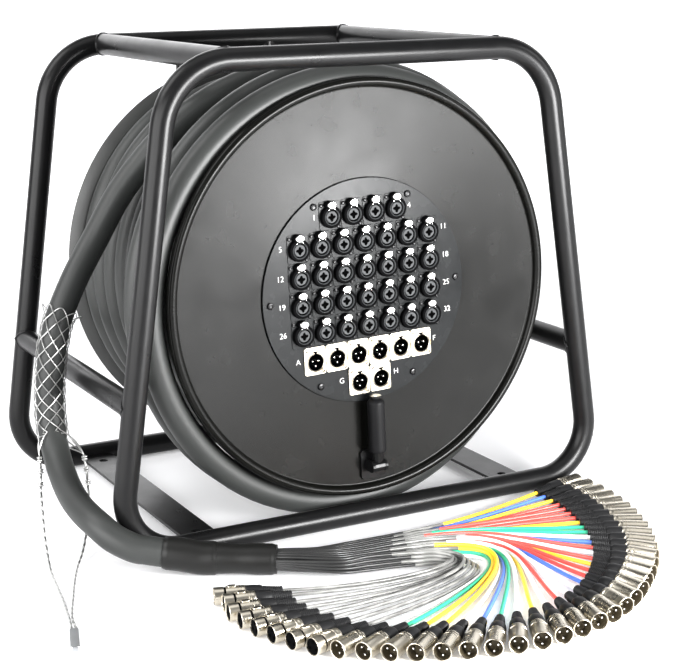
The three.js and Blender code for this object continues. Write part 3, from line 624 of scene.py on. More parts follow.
def box(low: Sequence[float], high: Sequence[float]) -> Surface:
    """A block between two corners: point = low + (0 or 1) * (high - low) on each axis.

    Args:
        low: The corner with the lowest values.
        high: The corner with the highest.

    Returns:
        The closed surface.
    """
    low, high = np.asarray(low, float), np.asarray(high, float)
    picks = np.array([[x, y, z] for x in (0, 1) for y in (0, 1) for z in (0, 1)])
    points = low + picks * (high - low)
    quads = np.array([[0, 1, 3, 2], [4, 6, 7, 5], [0, 4, 5, 1], [2, 3, 7, 6], [0, 2, 6, 4], [1, 5, 7, 3]])
    return Surface(points, [quads])


def on_drum(points: Array) -> Array:
    """Turns points about +Y by the drum's rest angle and lifts them to the axle.

    Args:
        points: Points in the drum's own place.

    Returns:
        The points in world place.
    """
    c, s = math.cos(-DRUM_REST_TURN), math.sin(-DRUM_REST_TURN)
    x, y, z = np.asarray(points, float).T
    return np.stack([x * c + z * s, y, -x * s + z * c + AXIS_HEIGHT], axis=1)


def make_piece(
    name: str,
    surface: Surface,
    finish: Finish,
    body: str,
    replaces: Sequence[str] = (),
    extras: Sequence[tuple[Surface, Finish]] = (),
    ride: bool = True,
) -> Piece:
    """Puts a surface into a mesh object that rides on a body.

    Args:
        name: The piece's name.
        surface: Its points and faces.
        finish: The finish of those faces.
        body: The body that it moves with.
        replaces: The CAD nodes that it stands for.
        extras: More surfaces of the same piece, each with its own finish.
        ride: False where the piece is attached to no body.

    Returns:
        The object.
    """
    mesh = bpy.data.meshes.new(name)
    parts = [surface, *(extra for extra, _ in extras)]
    counts = [sum(len(group) for group in part.faces) for part in parts]
    surface = joined(parts)
    mesh.from_pydata(surface.points.tolist(), [], [face for group in surface.faces for face in group.tolist()])
    mesh.polygons.foreach_set("material_index", np.repeat(np.arange(len(counts)), counts).astype(np.int32))
    if surface.wrap is not None:
        wrap = mesh.attributes.new("wrap", "FLOAT_VECTOR", "POINT")
        wrap.data.foreach_set("vector", surface.wrap.astype(np.float32).ravel())
    if surface.zone is not None:
        zone = mesh.attributes.new("zone", "FLOAT", "POINT")
        zone.data.foreach_set("value", surface.zone.astype(np.float32))
    work = bmesh.new()
    work.from_mesh(mesh)
    bmesh.ops.remove_doubles(work, verts=work.verts, dist=1e-6)
    bmesh.ops.recalc_face_normals(work, faces=work.faces)
    work.to_mesh(mesh)
    work.free()
    mesh.shade_smooth()
    mesh.set_sharp_from_angle(angle=SMOOTH_ANGLE)
    for one in (finish, *(other for _, other in extras)):
        mesh.materials.append(one.material())
    piece = bpy.data.objects.new(name, mesh)
    bpy.context.scene.collection.objects.link(piece)
    if ride:
        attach(piece, body)
    if replaces:
        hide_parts(*replaces)
    LOG.info("%s: %d points", name, len(mesh.vertices))
    return piece


# Camera and light

def placed(
    right: Sequence[float], up: Sequence[float], back: Sequence[float], place: Sequence[float]
) -> Matrix:
    """The matrix of a camera or lamp at a place, with its three directions as columns."""
    columns = np.stack([np.asarray(column, float) for column in (right, up, back, place)], axis=1)
    return Matrix([*columns.tolist(), [0, 0, 0, 1]])


@dataclass(frozen=True)
class Lamp:
    """A soft area lamp: where it hangs, what it points at, its width and height, and its watts."""

    name: str
    place: Triple
    target: Triple
    size: Pair
    power: float


@dataclass
class Studio:
    """The camera at the photograph's angle, a pale floor and soft light."""

    camera_place: Triple = (-0.83751, -1.69526, 0.62322)
    yaw: float = 0.4901
    pitch: float = 0.2301
    roll: float = -0.0118
    lens: float = 84.55
    world_strength: float = 0.12
    floor_reach: float = 9.0
    bend_start: float = 3.5
    bend_radius: float = 2.0
    bend_steps: int = 16
    wall_height: float = 4.0
    floor_turn: float = -0.35
    lamps: tuple[Lamp, ...] = (
        Lamp("front", (0.37, -1.30, 0.31), (-0.05, -0.17, 0.36), (0.56, 0.32), 50),
        Lamp("left", (-2.3, -0.75, 0.80), (-0.1, 0.0, 0.30), (3.2, 1.4), 110),
        Lamp("upper_left", (-1.4, 0.3, 1.9), (-0.1, 0.0, 0.35), (1.2, 1.2), 30),
        Lamp("right", (1.9, -1.25, 0.8), (0.0, 0.0, 0.25), (0.35, 1.5), 12),
        Lamp("top", (0.0, -0.2, 2.5), (0.0, -0.1, 0.0), (1.8, 1.8), 12),
        Lamp("back", (0.3, 2.6, 1.4), (0.0, 0.0, 0.3), (2.2, 1.2), 14),
    )

    def add_camera(self) -> None:
        """Sets the camera from its yaw, pitch and roll."""
        forward = np.array([
            math.sin(self.yaw) * math.cos(self.pitch), math.cos(self.yaw) * math.cos(self.pitch),
            -math.sin(self.pitch),
        ])
        right = np.array([math.cos(self.yaw), -math.sin(self.yaw), 0.0])
        up = np.cross(right, forward)
        turned_right = right * math.cos(self.roll) + up * math.sin(self.roll)
        turned_up = up * math.cos(self.roll) - right * math.sin(self.roll)
        camera = bpy.data.objects.new("camera", bpy.data.cameras.new("camera"))
        camera.matrix_world = placed(turned_right, turned_up, -forward, self.camera_place)
        camera.data.lens = self.lens
        camera.data.sensor_width = 36.0
        camera.data.clip_end = 50
        bpy.context.scene.collection.objects.link(camera)
        bpy.context.scene.camera = camera

    def add_light(self) -> None:
        """Adds the pale world, the soft lamps and the floor."""
        scene = bpy.context.scene
        world = bpy.data.worlds.new("studio")
        world.use_nodes = True
        sky = world.node_tree.nodes["Background"]
        sky.inputs["Color"].default_value = (0.95, 0.96, 1.0, 1)
        sky.inputs["Strength"].default_value = self.world_strength
        scene.world = world
        scene.view_settings.view_transform = "Standard"
        for lamp in self.lamps:
            self._hang(lamp)
        self._floor()

    def _hang(self, lamp: Lamp) -> None:
        """Hangs a lamp level and turned to its target; the camera doesn't see it.

        Args:
            lamp: The lamp.
        """
        data = bpy.data.lights.new(lamp.name, "AREA")
        data.shape = "RECTANGLE"
        data.size, data.size_y = lamp.size
        data.energy = lamp.power
        holder = bpy.data.objects.new(lamp.name, data)
        away = unit(np.subtract(lamp.place, lamp.target))
        right = unit(np.cross([0.0, 0.0, 1.0], away))
        holder.matrix_world = placed(right, np.cross(away, right), away, lamp.place)
        holder.visible_camera = False
        bpy.context.scene.collection.objects.link(holder)

    def _floor(self) -> None:
        """Lays the floor under the object and curves it up far behind: z rises as a quarter circle."""
        reach, steps = self.floor_reach, self.bend_steps
        angle = np.radians(np.linspace(0, 90, steps))
        run = np.concatenate([[-reach], self.bend_start + self.bend_radius * np.sin(angle)])
        rise = self.bend_radius * np.concatenate([[0.0], 1 - np.cos(angle)])
        rise[-1] += self.wall_height
        points = np.stack([
            np.tile([-reach, reach], steps + 1), np.repeat(run, 2), np.repeat(rise, 2),
        ], axis=1)
        c, s = math.cos(self.floor_turn), math.sin(self.floor_turn)
        points = points @ np.array([[c, s, 0], [-s, c, 0], [0, 0, 1]])
        finish = FloorFinish("floor_pale", (0.88, 0.88, 0.89), 0.6, grain_size=0.01, spread=0.01, specular=0.2)
        mesh = bpy.data.meshes.new("floor")
        mesh.from_pydata(points.tolist(), [], grid_faces(len(run), 2, False, False).tolist())
        mesh.shade_smooth()
        mesh.materials.append(finish.material())
        floor = bpy.data.objects.new("floor", mesh)
        bpy.context.scene.collection.objects.link(floor)


# The snake: winding, free run, sleeves

@dataclass
class Snake:
    """The wound cable on the drum and its free end down to the breakout."""

    winding_radius: float = 0.203
    winding_pitch: float = 0.0308
    layer_height: float = 0.0313
    end_angle: float = 52.0
    slack: float = 0.012
    clearance: float = 0.0005
    climb_turns: float = 0.667
    shift_start: float = 0.6
    shift_length: float = 0.6
    top_turns: float = 2.2
    slack_angle: float = 45.0
    rear_rise: float = 0.006
    rear_turns: float = 4.0
    steps_per_turn: int = 96
    source_steps: int = 18
    sides: int = 24
    station_gap: float = 0.004
    sleeve_station_gap: float = 0.0015
    sleeve_sides: int = 32
    large_sleeve: float = 0.0163
    small_sleeve: float = 0.0162
    sleeve_swell: float = 0.0012
    sleeve_lead: float = 0.018
    sleeve_ends: Pair = (12.0, 14.0)
    sleeve_waist: float = 0.0009
    waist_share: float = 0.7
    taper_share: float = 0.9
    run_end: Triple = (-0.265, -0.219, 0.025)
    sleeve_joint: Triple = (-0.216, -0.246, 0.0185)
    breakout: Triple = (-0.164, -0.277, 0.0175)

    def winding_path(self) -> Array:
        """The wound centreline in the drum's own place.

        A turn moves the cable on by one pitch. Past the first layer it climbs, and then each turn
        moves over in the first part of its turn, with some slack at the top.

        Returns:
            The stations from the rear end of the layer to where the cable leaves.
        """
        front = DRUM_FRONT + SNAKE_RADIUS + self.clearance
        rear = DRUM_REAR - SNAKE_RADIUS - 2 * self.clearance
        layer_turns = (rear - front) / self.winding_pitch
        turns = layer_turns + self.top_turns
        count = int(turns * self.steps_per_turn)
        turn = turns - np.arange(count, -1, -1) / self.steps_per_turn
        rest = math.degrees(DRUM_REST_TURN)
        angle = np.radians(self.end_angle - rest) - (turns - turn) * TURN
        past = np.maximum(turn - layer_turns, 0)
        climbed = np.minimum(1, past / self.climb_turns)
        bulge = (1 - np.cos(angle + DRUM_REST_TURN - math.radians(self.slack_angle))) / 2
        radius = self.winding_radius + self.layer_height * np.sqrt(2 * climbed - climbed**2)
        radius = radius + self.slack * bulge * smooth(2 * past)
        radius = radius + self.rear_rise * smooth(1 - turn / self.rear_turns)
        over = np.maximum(past - self.shift_start, 0)
        shifted = front + self.winding_pitch * (np.floor(over) + smooth((over % 1) / self.shift_length))
        y = np.where(turn > layer_turns, shifted, rear - turn * self.winding_pitch)
        return np.stack([radius * np.cos(angle), y, radius * np.sin(angle)], axis=1)

    def run_points(self, last: Array) -> Array:
        """The points of the free run, from the winding's end to the first sleeve.

        Args:
            last: The winding's last two stations of the source's own spacing, in world place.

        Returns:
            The points, with two in line behind each end.
        """
        leaving = unit(last[1] - last[0])
        start = last[1] + leaving * FLOOR_GAP
        free = np.array([
            [80, -77, 483], [0, -62, 498], [-86, -44, 481], [-148, -30, 446], [-214, -12, 374], [-250, -10, 318],
            [-279, -15, 274], [-302, -22, 230], [-312, -22, 182], [-316, -26, 134], [-319, -46, 99], [-323, -88, 73],
            [-325, -138, 60], [-319, -180, 51], [-309, -198, 41], [-291, -210, 31],
        ]) * MM
        end = np.array(self.run_end)
        heading = unit(end - free[-1])
        lead = SNAKE_RADIUS * 0.6
        return np.concatenate([
            [start, start + leaving * lead, start + leaving * 2 * lead], free,
            [end - heading * 2 * lead, end - heading * lead, end],
        ])

    def build(self) -> tuple[Array, Piece]:
        """Makes the winding and the free run.

        Returns:
            The free run's centreline and its piece.
        """
        wound = self.winding_path()
        make_piece(
            "snake_wound", tube(wound, SNAKE_RADIUS, self.sides).moved(on_drum), SNAKE_JACKET, "drum",
            ["snake_winding"],
        )
        coarse = self.steps_per_turn // self.source_steps
        last = on_drum(np.stack([wound[-1 - coarse], wound[-1]]))
        points = self.run_points(last)
        path = curve_through(points, self.station_gap)
        run = make_piece(
            "snake_run", tube(path, SNAKE_RADIUS, self.sides), SNAKE_JACKET, "root",
            ["snake_free_run"], ride=False,
        )
        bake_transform(run)
        return path, run

    def build_sleeves(self) -> list[Piece]:
        """Makes the shrink sleeves at the breakout, waisted where they grip the bundle.

        Returns:
            The two pieces.
        """
        end, joint, out = (np.array(p) for p in (self.run_end, self.sleeve_joint, self.breakout))
        first, second = unit(joint - end), unit(out - joint)
        gap, lead, (start_rise, end_fall) = self.sleeve_station_gap, self.sleeve_lead, self.sleeve_ends
        path = curve_through(np.array([end, end + first * lead, joint - second * lead, joint]), gap)
        share = np.linspace(0, 1, len(path))
        swell = smooth(share * start_rise) * smooth((1 - share) * end_fall)
        radius = self.large_sleeve + self.sleeve_swell * swell
        large = make_piece(
            "breakout_sleeve_large", tube(path, radius, self.sleeve_sides), SLEEVE_BLACK, "root",
            ["sleeve_large"],
        )
        path = curve_through(np.array([joint, joint + second * 0.02, out]), gap)
        share = np.linspace(0, 1, len(path))
        waist = self.sleeve_waist * np.sin(np.clip(share / self.waist_share, 0, 1) * math.pi) ** 2
        radius = self.small_sleeve - waist - self.sleeve_swell * smooth((share - self.taper_share) * start_rise)
        small = make_piece(
            "breakout_sleeve_small", tube(path, radius, self.sleeve_sides), SLEEVE_BLACK, "root",
            ["sleeve_small"],
        )
        return [large, small]


def spread(at: Array, places: Array, rows: Array) -> Array:
    """Rows of vectors read at given places, by straight lines between them."""
    return np.stack([np.interp(at, places, rows[:, axis]) for axis in range(3)], axis=1)


def smooth(share: Array | float) -> Array:
    """The smooth step 3 s^2 - 2 s^3 of a share held between 0 and 1."""
    s = np.clip(share, 0, 1)
    return s * s * (3 - 2 * s)


def unit(vector: Array) -> Array:
    """The vector at length one."""
    return np.asarray(vector, float) / np.linalg.norm(vector)


# Frame

@dataclass
class TubularFrame:
    """Two bent hoops, the cross tubes between them, the foot bars and the drum's support."""

    top_level: float = 0.5185
    foot_level: float = 0.0125
    top_half_width: float = 0.2255
    foot_half_width: float = 0.3
    top_corner_radius: float = 0.075
    foot_corner_radius: float = 0.06
    cross_tube_spread: float = 0.324
    side_tube_height: float = 0.170
    post_spread: float = 0.110
    cope_depth: float = 0.985
    cope_row: float = 0.93
    weld_radius: float = 0.0017
    weld_sink: float = 0.0002
    weld_ripple: float = 0.10
    post_gap: float = 0.004
    sides: int = 40

    def hoop_path(self, y: float) -> Array:
        """The hoop's centreline: four arcs joined by straight runs.

        Args:
            y: The level of the hoop's plane.

        Returns:
            The stations once round.
        """
        corners = np.array([
            [self.foot_half_width, self.foot_level], [self.top_half_width, self.top_level],
            [-self.top_half_width, self.top_level], [-self.foot_half_width, self.foot_level],
        ])
        radii = [self.foot_corner_radius, self.top_corner_radius, self.top_corner_radius, self.foot_corner_radius]
        stations = []
        for i, (corner, radius) in enumerate(zip(corners, radii)):
            back, on = unit(corners[i - 1] - corner), unit(corners[(i + 1) % 4] - corner)
            half = math.acos(float(back @ on)) / 2
            middle = unit(back + on)
            centre = corner + middle * radius / math.sin(half)
            sweep = math.pi - 2 * half
            start = math.atan2(-middle[1], -middle[0])
            angles = start + (np.linspace(0, 1, 15) - 0.5) * sweep
            stations.append(centre + radius * np.stack([np.cos(angles), np.sin(angles)], axis=1))
        flat = np.concatenate(stations)
        return np.stack([flat[:, 0], np.full(len(flat), y), flat[:, 1]], axis=1)

    def build(self) -> None:
        """Makes all the frame's pieces."""
        for name, y in (("front_hoop", -HOOP_Y), ("rear_hoop", HOOP_Y)):
            path = densified(self.hoop_path(y), 0.02)
            self._painted(f"{name}_tube", tube(path, TUBE_RADIUS, self.sides, closed=True), [name])
        lean = math.atan2(self.foot_half_width - self.top_half_width, self.top_level - self.foot_level)
        side_x = self.foot_half_width - (self.side_tube_height - self.foot_level) * math.tan(lean)
        for side, sign in (("left", -1), ("right", 1)):
            self._cross_tube(f"top_tube_{side}", sign * self.cross_tube_spread / 2, self.top_level, (0.0, 1.0))
            upright = (math.cos(lean), sign * math.sin(lean))
            self._cross_tube(f"side_tube_{side}", sign * side_x, self.side_tube_height, upright)
            self._post(f"rear_post_{side}", sign * self.post_spread / 2)

    def _cross_tube(self, name: str, x: float, z: float, normal: Sequence[float]) -> None:
        """Makes a tube along Y whose ends follow the hoops' round surface.

        The end of the line at angle a is at |y| = hoop - depth * sqrt(R^2 - (R * n . (cos a, sin a))^2).

        Args:
            name: The CAD node's name.
            x: Its place across.
            z: Its height.
            normal: The direction in X and Z square to the hoop's own tube there.
        """
        angle = np.arange(self.sides) * TURN / self.sides
        off = TUBE_RADIUS * (np.cos(angle) * normal[0] + np.sin(angle) * normal[1])
        end = HOOP_Y - np.sqrt(np.maximum(TUBE_RADIUS**2 - off**2, 0.0)) * self.cope_depth
        rows = np.stack([-end, -end * self.cope_row, end * self.cope_row, end])
        ring = np.stack([x + TUBE_RADIUS * np.cos(angle), z + TUBE_RADIUS * np.sin(angle)], axis=1)
        points = np.stack([
            np.broadcast_to(ring[:, 0], rows.shape), rows, np.broadcast_to(ring[:, 1], rows.shape)
        ], axis=2).reshape(-1, 3)
        faces = [
            grid_faces(4, self.sides, False, True), np.arange(self.sides)[None, ::-1],
            (np.arange(self.sides) + 3 * self.sides)[None, :],
        ]
        self._painted(f"{name}_bar", Surface(points, faces), [name])
        inside = TUBE_RADIUS - self.weld_sink
        ripple = self.weld_radius * (1 + self.weld_ripple * np.sin(np.arange(self.sides) * 2.4))
        for where, row in (("front", rows[0] + self.weld_sink), ("rear", rows[3] - self.weld_sink)):
            seam = np.stack([x + inside * np.cos(angle), row, z + inside * np.sin(angle)], axis=1)
            self._painted(f"{name}_weld_{where}", tube(seam, ripple, 8, closed=True), [])

    def _post(self, name: str, x: float) -> None:
        """Makes a post behind the drum, from the bottom bar to the top bar.

        Args:
            name: The CAD node's name.
            x: Its place across.
        """
        levels = [self.foot_level + self.post_gap, 0.25, self.top_level - self.post_gap]
        path = np.array([[x, HOOP_Y, z] for z in levels])
        self._painted(f"{name}_bar", tube(path, TUBE_RADIUS, self.sides), [name])

    def _painted(self, name: str, surface: Surface, replaces: Sequence[str]) -> None:
        """Makes a painted piece of the frame, which stands for the CAD nodes in `replaces`."""
        make_piece(name, surface, FRAME_COAT, "root", replaces)


def densified(path: Array, spacing: float) -> Array:
    """Adds stations on the long straight runs of a closed path.

    Args:
        path: The closed path.
        spacing: How far apart its stations may be.

    Returns:
        The path with the added stations.
    """
    pieces = []
    for here, there in zip(path, np.roll(path, -1, axis=0)):
        steps = max(1, int(np.ceil(np.linalg.norm(there - here) / spacing)))
        pieces.append(here + (there - here) * (np.arange(steps) / steps)[:, None])
    return np.concatenate(pieces)


# Drum

@dataclass
class Drum:
    """The pressed flanges, rolled at the front and flared at the rear, the inner layers, barrel and hub."""

    lip_width: float = 0.010
    lip_height: float = 0.0075
    panel_opening: float = 0.114
    fillet: float = 0.002
    flare_width: float = 0.0135
    flare_cut: int = 5
    inner_turns: int = 9
    inner_outside: float = 0.184
    inner_inside: float = 0.1203
    inner_gap: float = 0.0005
    groove_depth: float = 0.96
    turn_steps: int = 12
    hub_bore: float = 0.0353
    segments: int = 192

    def flange(self, inner_y: float, way: int, bore: float, flared: bool) -> Surface:
        """A pressed disc: its section turned about the axle, at y = inner_y + way * height.

        Args:
            inner_y: The y of the face that touches the cable.
            way: -1 for a rim raised to the front, 1 to the rear.
            bore: The radius of its middle hole.
            flared: True where the rim flares away from the cable, False where it is rolled and hollow behind.

        Returns:
            The closed surface.
        """
        face = FLANGE_SHEET
        rim = face + self.lip_height
        inside = FLANGE_RADIUS - self.lip_width
        bead = self.lip_width / 2
        hollow = bead - FLANGE_SHEET
        fillet = self.fillet
        outer = [[bore, face], [inside - fillet, face]]
        outer += arc((inside - fillet, face + fillet), fillet, -90, 0, 5)[1:]
        outer += arc((inside + bead, rim - bead), bead, 180, 0, 15)
        inner = [[FLANGE_RADIUS, 0.0], [FLANGE_RADIUS - FLANGE_SHEET, 0.0]]
        inner += arc((inside + bead, rim - bead), hollow, 0, 180, 11)
        inner += [[inside + FLANGE_SHEET, 0.0], [bore, 0.0]]
        if flared:
            outer = outer[:-self.flare_cut]
            inner = [[FLANGE_RADIUS - 0.0004, 0.0082], [FLANGE_RADIUS, 0.0075], [FLANGE_RADIUS - 0.0006, 0.0066],
                     [FLANGE_RADIUS - self.flare_width + 0.0012, 0.0003], [FLANGE_RADIUS - self.flare_width, 0.0],
                     [bore, 0.0]]
        profile = np.array(outer + inner)
        profile[:, 1] = inner_y + way * profile[:, 1]
        return revolved(profile, self.segments)

    def inner_layers(self) -> Surface:
        """The layers under the winding: radius = outside - r + r * sqrt(1 - depth * u^2), u across each turn.

        Returns:
            The closed surface, in world place.
        """
        turns, radius, outside, inside = self.inner_turns, SNAKE_RADIUS, self.inner_outside, self.inner_inside
        front, rear = DRUM_FRONT + self.inner_gap, DRUM_REAR - self.inner_gap
        y = np.linspace(front, rear, turns * self.turn_steps + 1)
        across = 2 * (((y - front) / (rear - front) * turns) % 1) - 1
        bump = outside - radius + radius * np.sqrt(np.maximum(1 - self.groove_depth * across**2, 0))
        profile = np.concatenate([[[inside, front]], np.stack([bump, y], axis=1), [[inside, rear]]])
        whole = revolved(profile, 96)
        points = whole.points
        wrap = np.stack([np.arctan2(points[:, 2], points[:, 0]) * outside, points[:, 1], points[:, 0] * 0], axis=1)
        return Surface(on_drum(points), whole.faces, wrap)

    def build(self, nodes: dict[str, Piece]) -> None:
        """Makes the flanges and the inner layers, and dresses the CAD pieces that are kept.

        Args:
            nodes: The CAD nodes by name.
        """
        front = self.flange(DRUM_FRONT, -1, self.panel_opening, False)
        make_piece("front_flange_disc", front.moved(on_drum), DRUM_COAT, "drum", ["front_flange"])
        # Painted light: the rear flange takes a lighter copy of the drum's black coat.
        rear = self.flange(DRUM_REAR, 1, self.hub_bore, True)
        make_piece("rear_flange_disc", rear.moved(on_drum), REAR_PAINTED_LIGHT_COAT, "drum", ["rear_flange"])
        make_piece("inner_layers_wound", self.inner_layers(), SNAKE_JACKET, "drum",
                   ["inner_cable_layers"])
        dress(nodes["drum_barrel"], DRUM_COAT)
        for name in ("drum_hub", "bearing_front", "bearing_rear", "spindle", "spindle_nut"):
            dress(nodes[name], STEEL)
        for name in ("hub_plate", "foot_bar_left", "foot_bar_right"):
            dress(nodes[name], FRAME_COAT)


def dress(node: Piece, finish: Finish) -> None:
    """Gives a CAD node a finish."""
    node.data.materials.clear()
    node.data.materials.append(finish.material())


# Socket panel

@dataclass
class SocketPanel:
    """The round panel with its combination sockets, nickel plug sockets, screws and letters."""

    radius: float = 0.124
    thickness: float = 0.0025
    column_pitch: float = 0.0266
    row_pitch: float = 0.03125
    first_row: float = 0.0883
    socket_width: float = 0.026
    socket_height: float = 0.031
    screw_radius: float = 0.1155
    plug_hole: float = 0.0117
    cup_place: Pair = (0.0008, -0.0018)
    combo_depth: float = 0.006
    combo_middle: Pair = (0.0007, -0.0012)
    combo_screws: tuple[Pair, ...] = ((-0.0100, 0.0118), (0.0100, -0.0126))
    nickel_front: float = PANEL_FRONT - 0.0019
    nickel_screws: tuple[Pair, ...] = ((-0.0097, 0.0122), (0.0097, -0.0122))
    screw_angles: tuple[float, ...] = (-0.3, 60.5, 120.5, 180.0, 238.5, 299.0)
    letter_size: float = 0.0088

    def rows(self, counts: Sequence[int], first: int) -> list[Pair]:
        """Places of the sockets, row by row from the left."""
        return [
            ((column - (count - 1) / 2) * self.column_pitch, self.first_row - (first + row) * self.row_pitch)
            for row, count in enumerate(counts) for column in range(count)
        ]

    def build(self) -> None:
        """Makes the plate, its sockets, screws and letters."""
        self._plate()
        combos = self.rows([4, 7, 7, 7, 7], 0)
        for name, finish, parts in self._combo_parts():
            make_piece(name, joined([parts.at(x, z) for x, z in combos]).moved(on_drum), finish, "drum")
        plugs = self.rows([6, 2], 5)
        for letter, (x, z) in zip("abcdefgh", plugs):
            # Each nickel socket also carries painted shade in its cup and recesses, and a ring of painted reflection
            # round its cup and screws.
            parts = [
                part.at(x, z).moved(on_drum)
                for part in (self._plug_shell(), self._plug_painted_shade(), self._plug_pins(), self._plug_reflection_rings())
            ]
            # The golden-brown rings are a painted reflection in the nickel's rounded edges.
            make_piece(f"plug_socket_shell_{letter}", parts[0], NICKEL, "drum", [f"plug_socket_{letter}"],
                       extras=[(parts[1], PAINTED_SHADE_BLACK), (parts[2], PIN_STEEL), (parts[3], PAINTED_REFLECTION_BROWN)])
        self._letters()

    def _plate(self) -> None:
        """The round plate with the plug sockets' holes, its six pan-head screws and a thin black ring of painted
        shade in the gap round it.
        """
        middle = PANEL_FRONT + self.thickness / 2
        holes = [(x + self.cup_place[0], z + self.cup_place[1]) for x, z in self.rows([6, 2], 5)]
        plate = pierced_disc(self.radius, holes, self.plug_hole, self.thickness).moved(
            lambda p: np.stack([p[:, 0], middle - p[:, 2], p[:, 1]], axis=1))
        make_piece("panel_plate", plate.moved(on_drum), PANEL_COAT, "drum", ["socket_panel"])
        head = screw_head(0.0040, 0.0026, PANEL_FRONT)
        screws = ringed(head, self.screw_radius, self.screw_angles)
        make_piece("panel_screws", screws.moved(on_drum), SCREW_BLACK, "drum")
        # Painted shade: a near-black ring in the gap between the panel's edge and the flange.
        inner, outer = self.radius - 0.0002, self.radius + 0.0009
        seam = revolved([[inner, -0.0019], [inner, -0.0023], [outer, -0.0023], [outer, -0.0019]], 160, DRUM_FRONT)
        make_piece("panel_seam_painted_shade", seam.moved(on_drum), PAINTED_SHADE_BLACK, "drum")

    def _combo_parts(self) -> list[tuple[str, Finish, Surface]]:
        """The parts of one combination socket about its flange's middle: turned sections and flat outlines.

        Returns:
            Name, finish and surface of each part.
        """
        depth, middle = self.combo_depth, self.combo_middle
        front = PANEL_FRONT - depth
        flange = slab(rounded_outline(self.socket_width - 0.0006, self.socket_height, 0.003), PANEL_FRONT - 0.0008,
                      PANEL_FRONT + 0.0003, 0.0003)
        ring = revolved([
            [0.0083, depth], [0.0083, 0.0010], [0.0089, 0.0004], [0.0114, 0.0004], [0.0119, 0.0008], [0.0121, 0.0014],
            [0.0121, depth],
        ], 48, front).at(*middle)
        circle = revolved([
            [0.0082, 0.0030], [0.0082, 0.0002], [0.0085, 0.0], [0.0088, 0.0002], [0.0088, 0.0030],
        ], 44, front).at(*middle)
        hump = revolved([
            [0.0, depth], [0.0064, depth], [0.0061, 0.0010], [0.0053, 0.0], [0.0, 0.0],
        ], 30, front).moved(lambda p: p * [1, 1, 0.72]).at(-0.0003, 0.0118)
        tab = revolved([
            [0.0, -0.0022], [0.0034, -0.0021], [0.0040, -0.0015], [0.0041, 0.0004], [0.0, 0.0004],
        ], 28, front).moved(lambda p: p * [1.28, 1, 0.94]).at(0.0004, 0.0121)
        leg = slab(rounded_outline(0.0009, 0.0010, 0.0003), front - 0.0004, front + 0.001, 0.0002)
        legs = [leg.at(0.0007 + side * 0.0036, 0.0072) for side in (-1, 1)]
        insert = revolved([
            [0.0, 0.0016], [0.0061, 0.0016], [0.0065, 0.0020], [0.0066, 0.0045], [0.0, 0.0045],
        ], 36, front).at(*middle)
        # Painted shade: the well behind the insert and the clover keyhole are near-black discs where the socket's
        # hollows fall into shade.
        well = revolved([[0.0, 0.0038], [0.0082, 0.0038], [0.0082, 0.0046], [0.0, 0.0046]], 32, front).at(*middle)
        angles = np.linspace(0, TURN, 48, endpoint=False)
        leaf = 0.0037 + 0.0009 * np.cos(4 * angles) - 0.0003 * np.sin(angles)
        clover = slab(np.stack([leaf * np.cos(angles), leaf * np.sin(angles)], axis=1), front + 0.0014,
                      front + 0.0030, 0.0001).at(*middle)
        screw = screw_head(0.0022, 0.0016, PANEL_FRONT - 0.0008)
        screws = joined([screw.at(*place) for place in self.combo_screws])
        return [
            ("combo_flanges", PANEL_COAT, flange), ("combo_bodies", SOCKET_BLACK, joined([ring, hump])),
            ("combo_tabs", BRIGHT_TAB, joined([tab, *legs])), ("combo_wells_painted_shade", PAINTED_SHADE_BLACK, well),
            ("combo_inserts", SOCKET_INSERT, joined([insert, circle])), ("combo_keyholes_painted_shade", PAINTED_SHADE_BLACK, clover),
            ("combo_screws", SCREW_BLACK, screws),
        ]

    def _plug_shell(self) -> Surface:
        """A nickel flange with its raised collar, cup wall and two screws.

        The rings go from the flange's outline in to circles round the cup: ring j is
        cup + radius(j) * (cos a, sin a) at nickel_front + y(j).

        Returns:
            The closed surface.
        """
        outline = evenly(rounded_outline(self.socket_width - 0.0003, self.socket_height, 0.0025, 9), 112)
        away = outline - self.cup_place
        spokes = away / np.linalg.norm(away, axis=1, keepdims=True)
        rings = [(outline, 0.0016), (outline, 0.0004), (outline * 0.985, 0.0)]
        rings += [(self.cup_place + spokes * radius, y) for radius, y in (
            (0.0112, 0.0), (0.0110, 0.0003), (0.0107, 0.0003), (0.0105, -0.0006), (0.0098, -0.0009),
            (0.0093, -0.0004), (0.0093, 0.0158), (0.0001, 0.0158), (0.0001, 0.0185), (0.0108, 0.0185),
            (0.0108, 0.0016),
        )]
        points = np.concatenate([
            np.stack([ring[:, 0], np.full(len(ring), self.nickel_front + y), ring[:, 1]], axis=1) for ring, y in rings
        ])
        screw = screw_head(0.0021, 0.0009, self.nickel_front)
        screws = [screw.at(*place) for place in self.nickel_screws]
        return joined([Surface(points, [grid_faces(len(rings), len(outline), True, True)]), *screws])

    def _plug_pins(self) -> Surface:
        """The three pins of a nickel socket, turned sections: two above, one below.

        Returns:
            All three in one surface.
        """
        profile = [[0.0, 0.0010], [0.0006, 0.0011], [0.0010, 0.0020], [0.0010, 0.016], [0.0, 0.016]]
        x, z = self.cup_place
        return ringed(revolved(profile, 12, self.nickel_front), 0.0038, PIN_ANGLES).at(x, z - 0.0006)

    def _plug_reflection_rings(self) -> Surface:
        """Thin golden-brown rings round a nickel cup and round its two screws, turned sections: a painted reflection
        of the dark surroundings in the nickel's rounded edges.
        """
        places = [(*self.cup_place, 0.0116), *((*place, 0.0022) for place in self.nickel_screws)]
        return joined([
            revolved([
                [r, 0.0003], [r, -0.0003], [r + 0.0003, -0.0003], [r + 0.0003, 0.0003]
            ], 40, self.nickel_front).at(x, z) for x, z, r in places
        ])

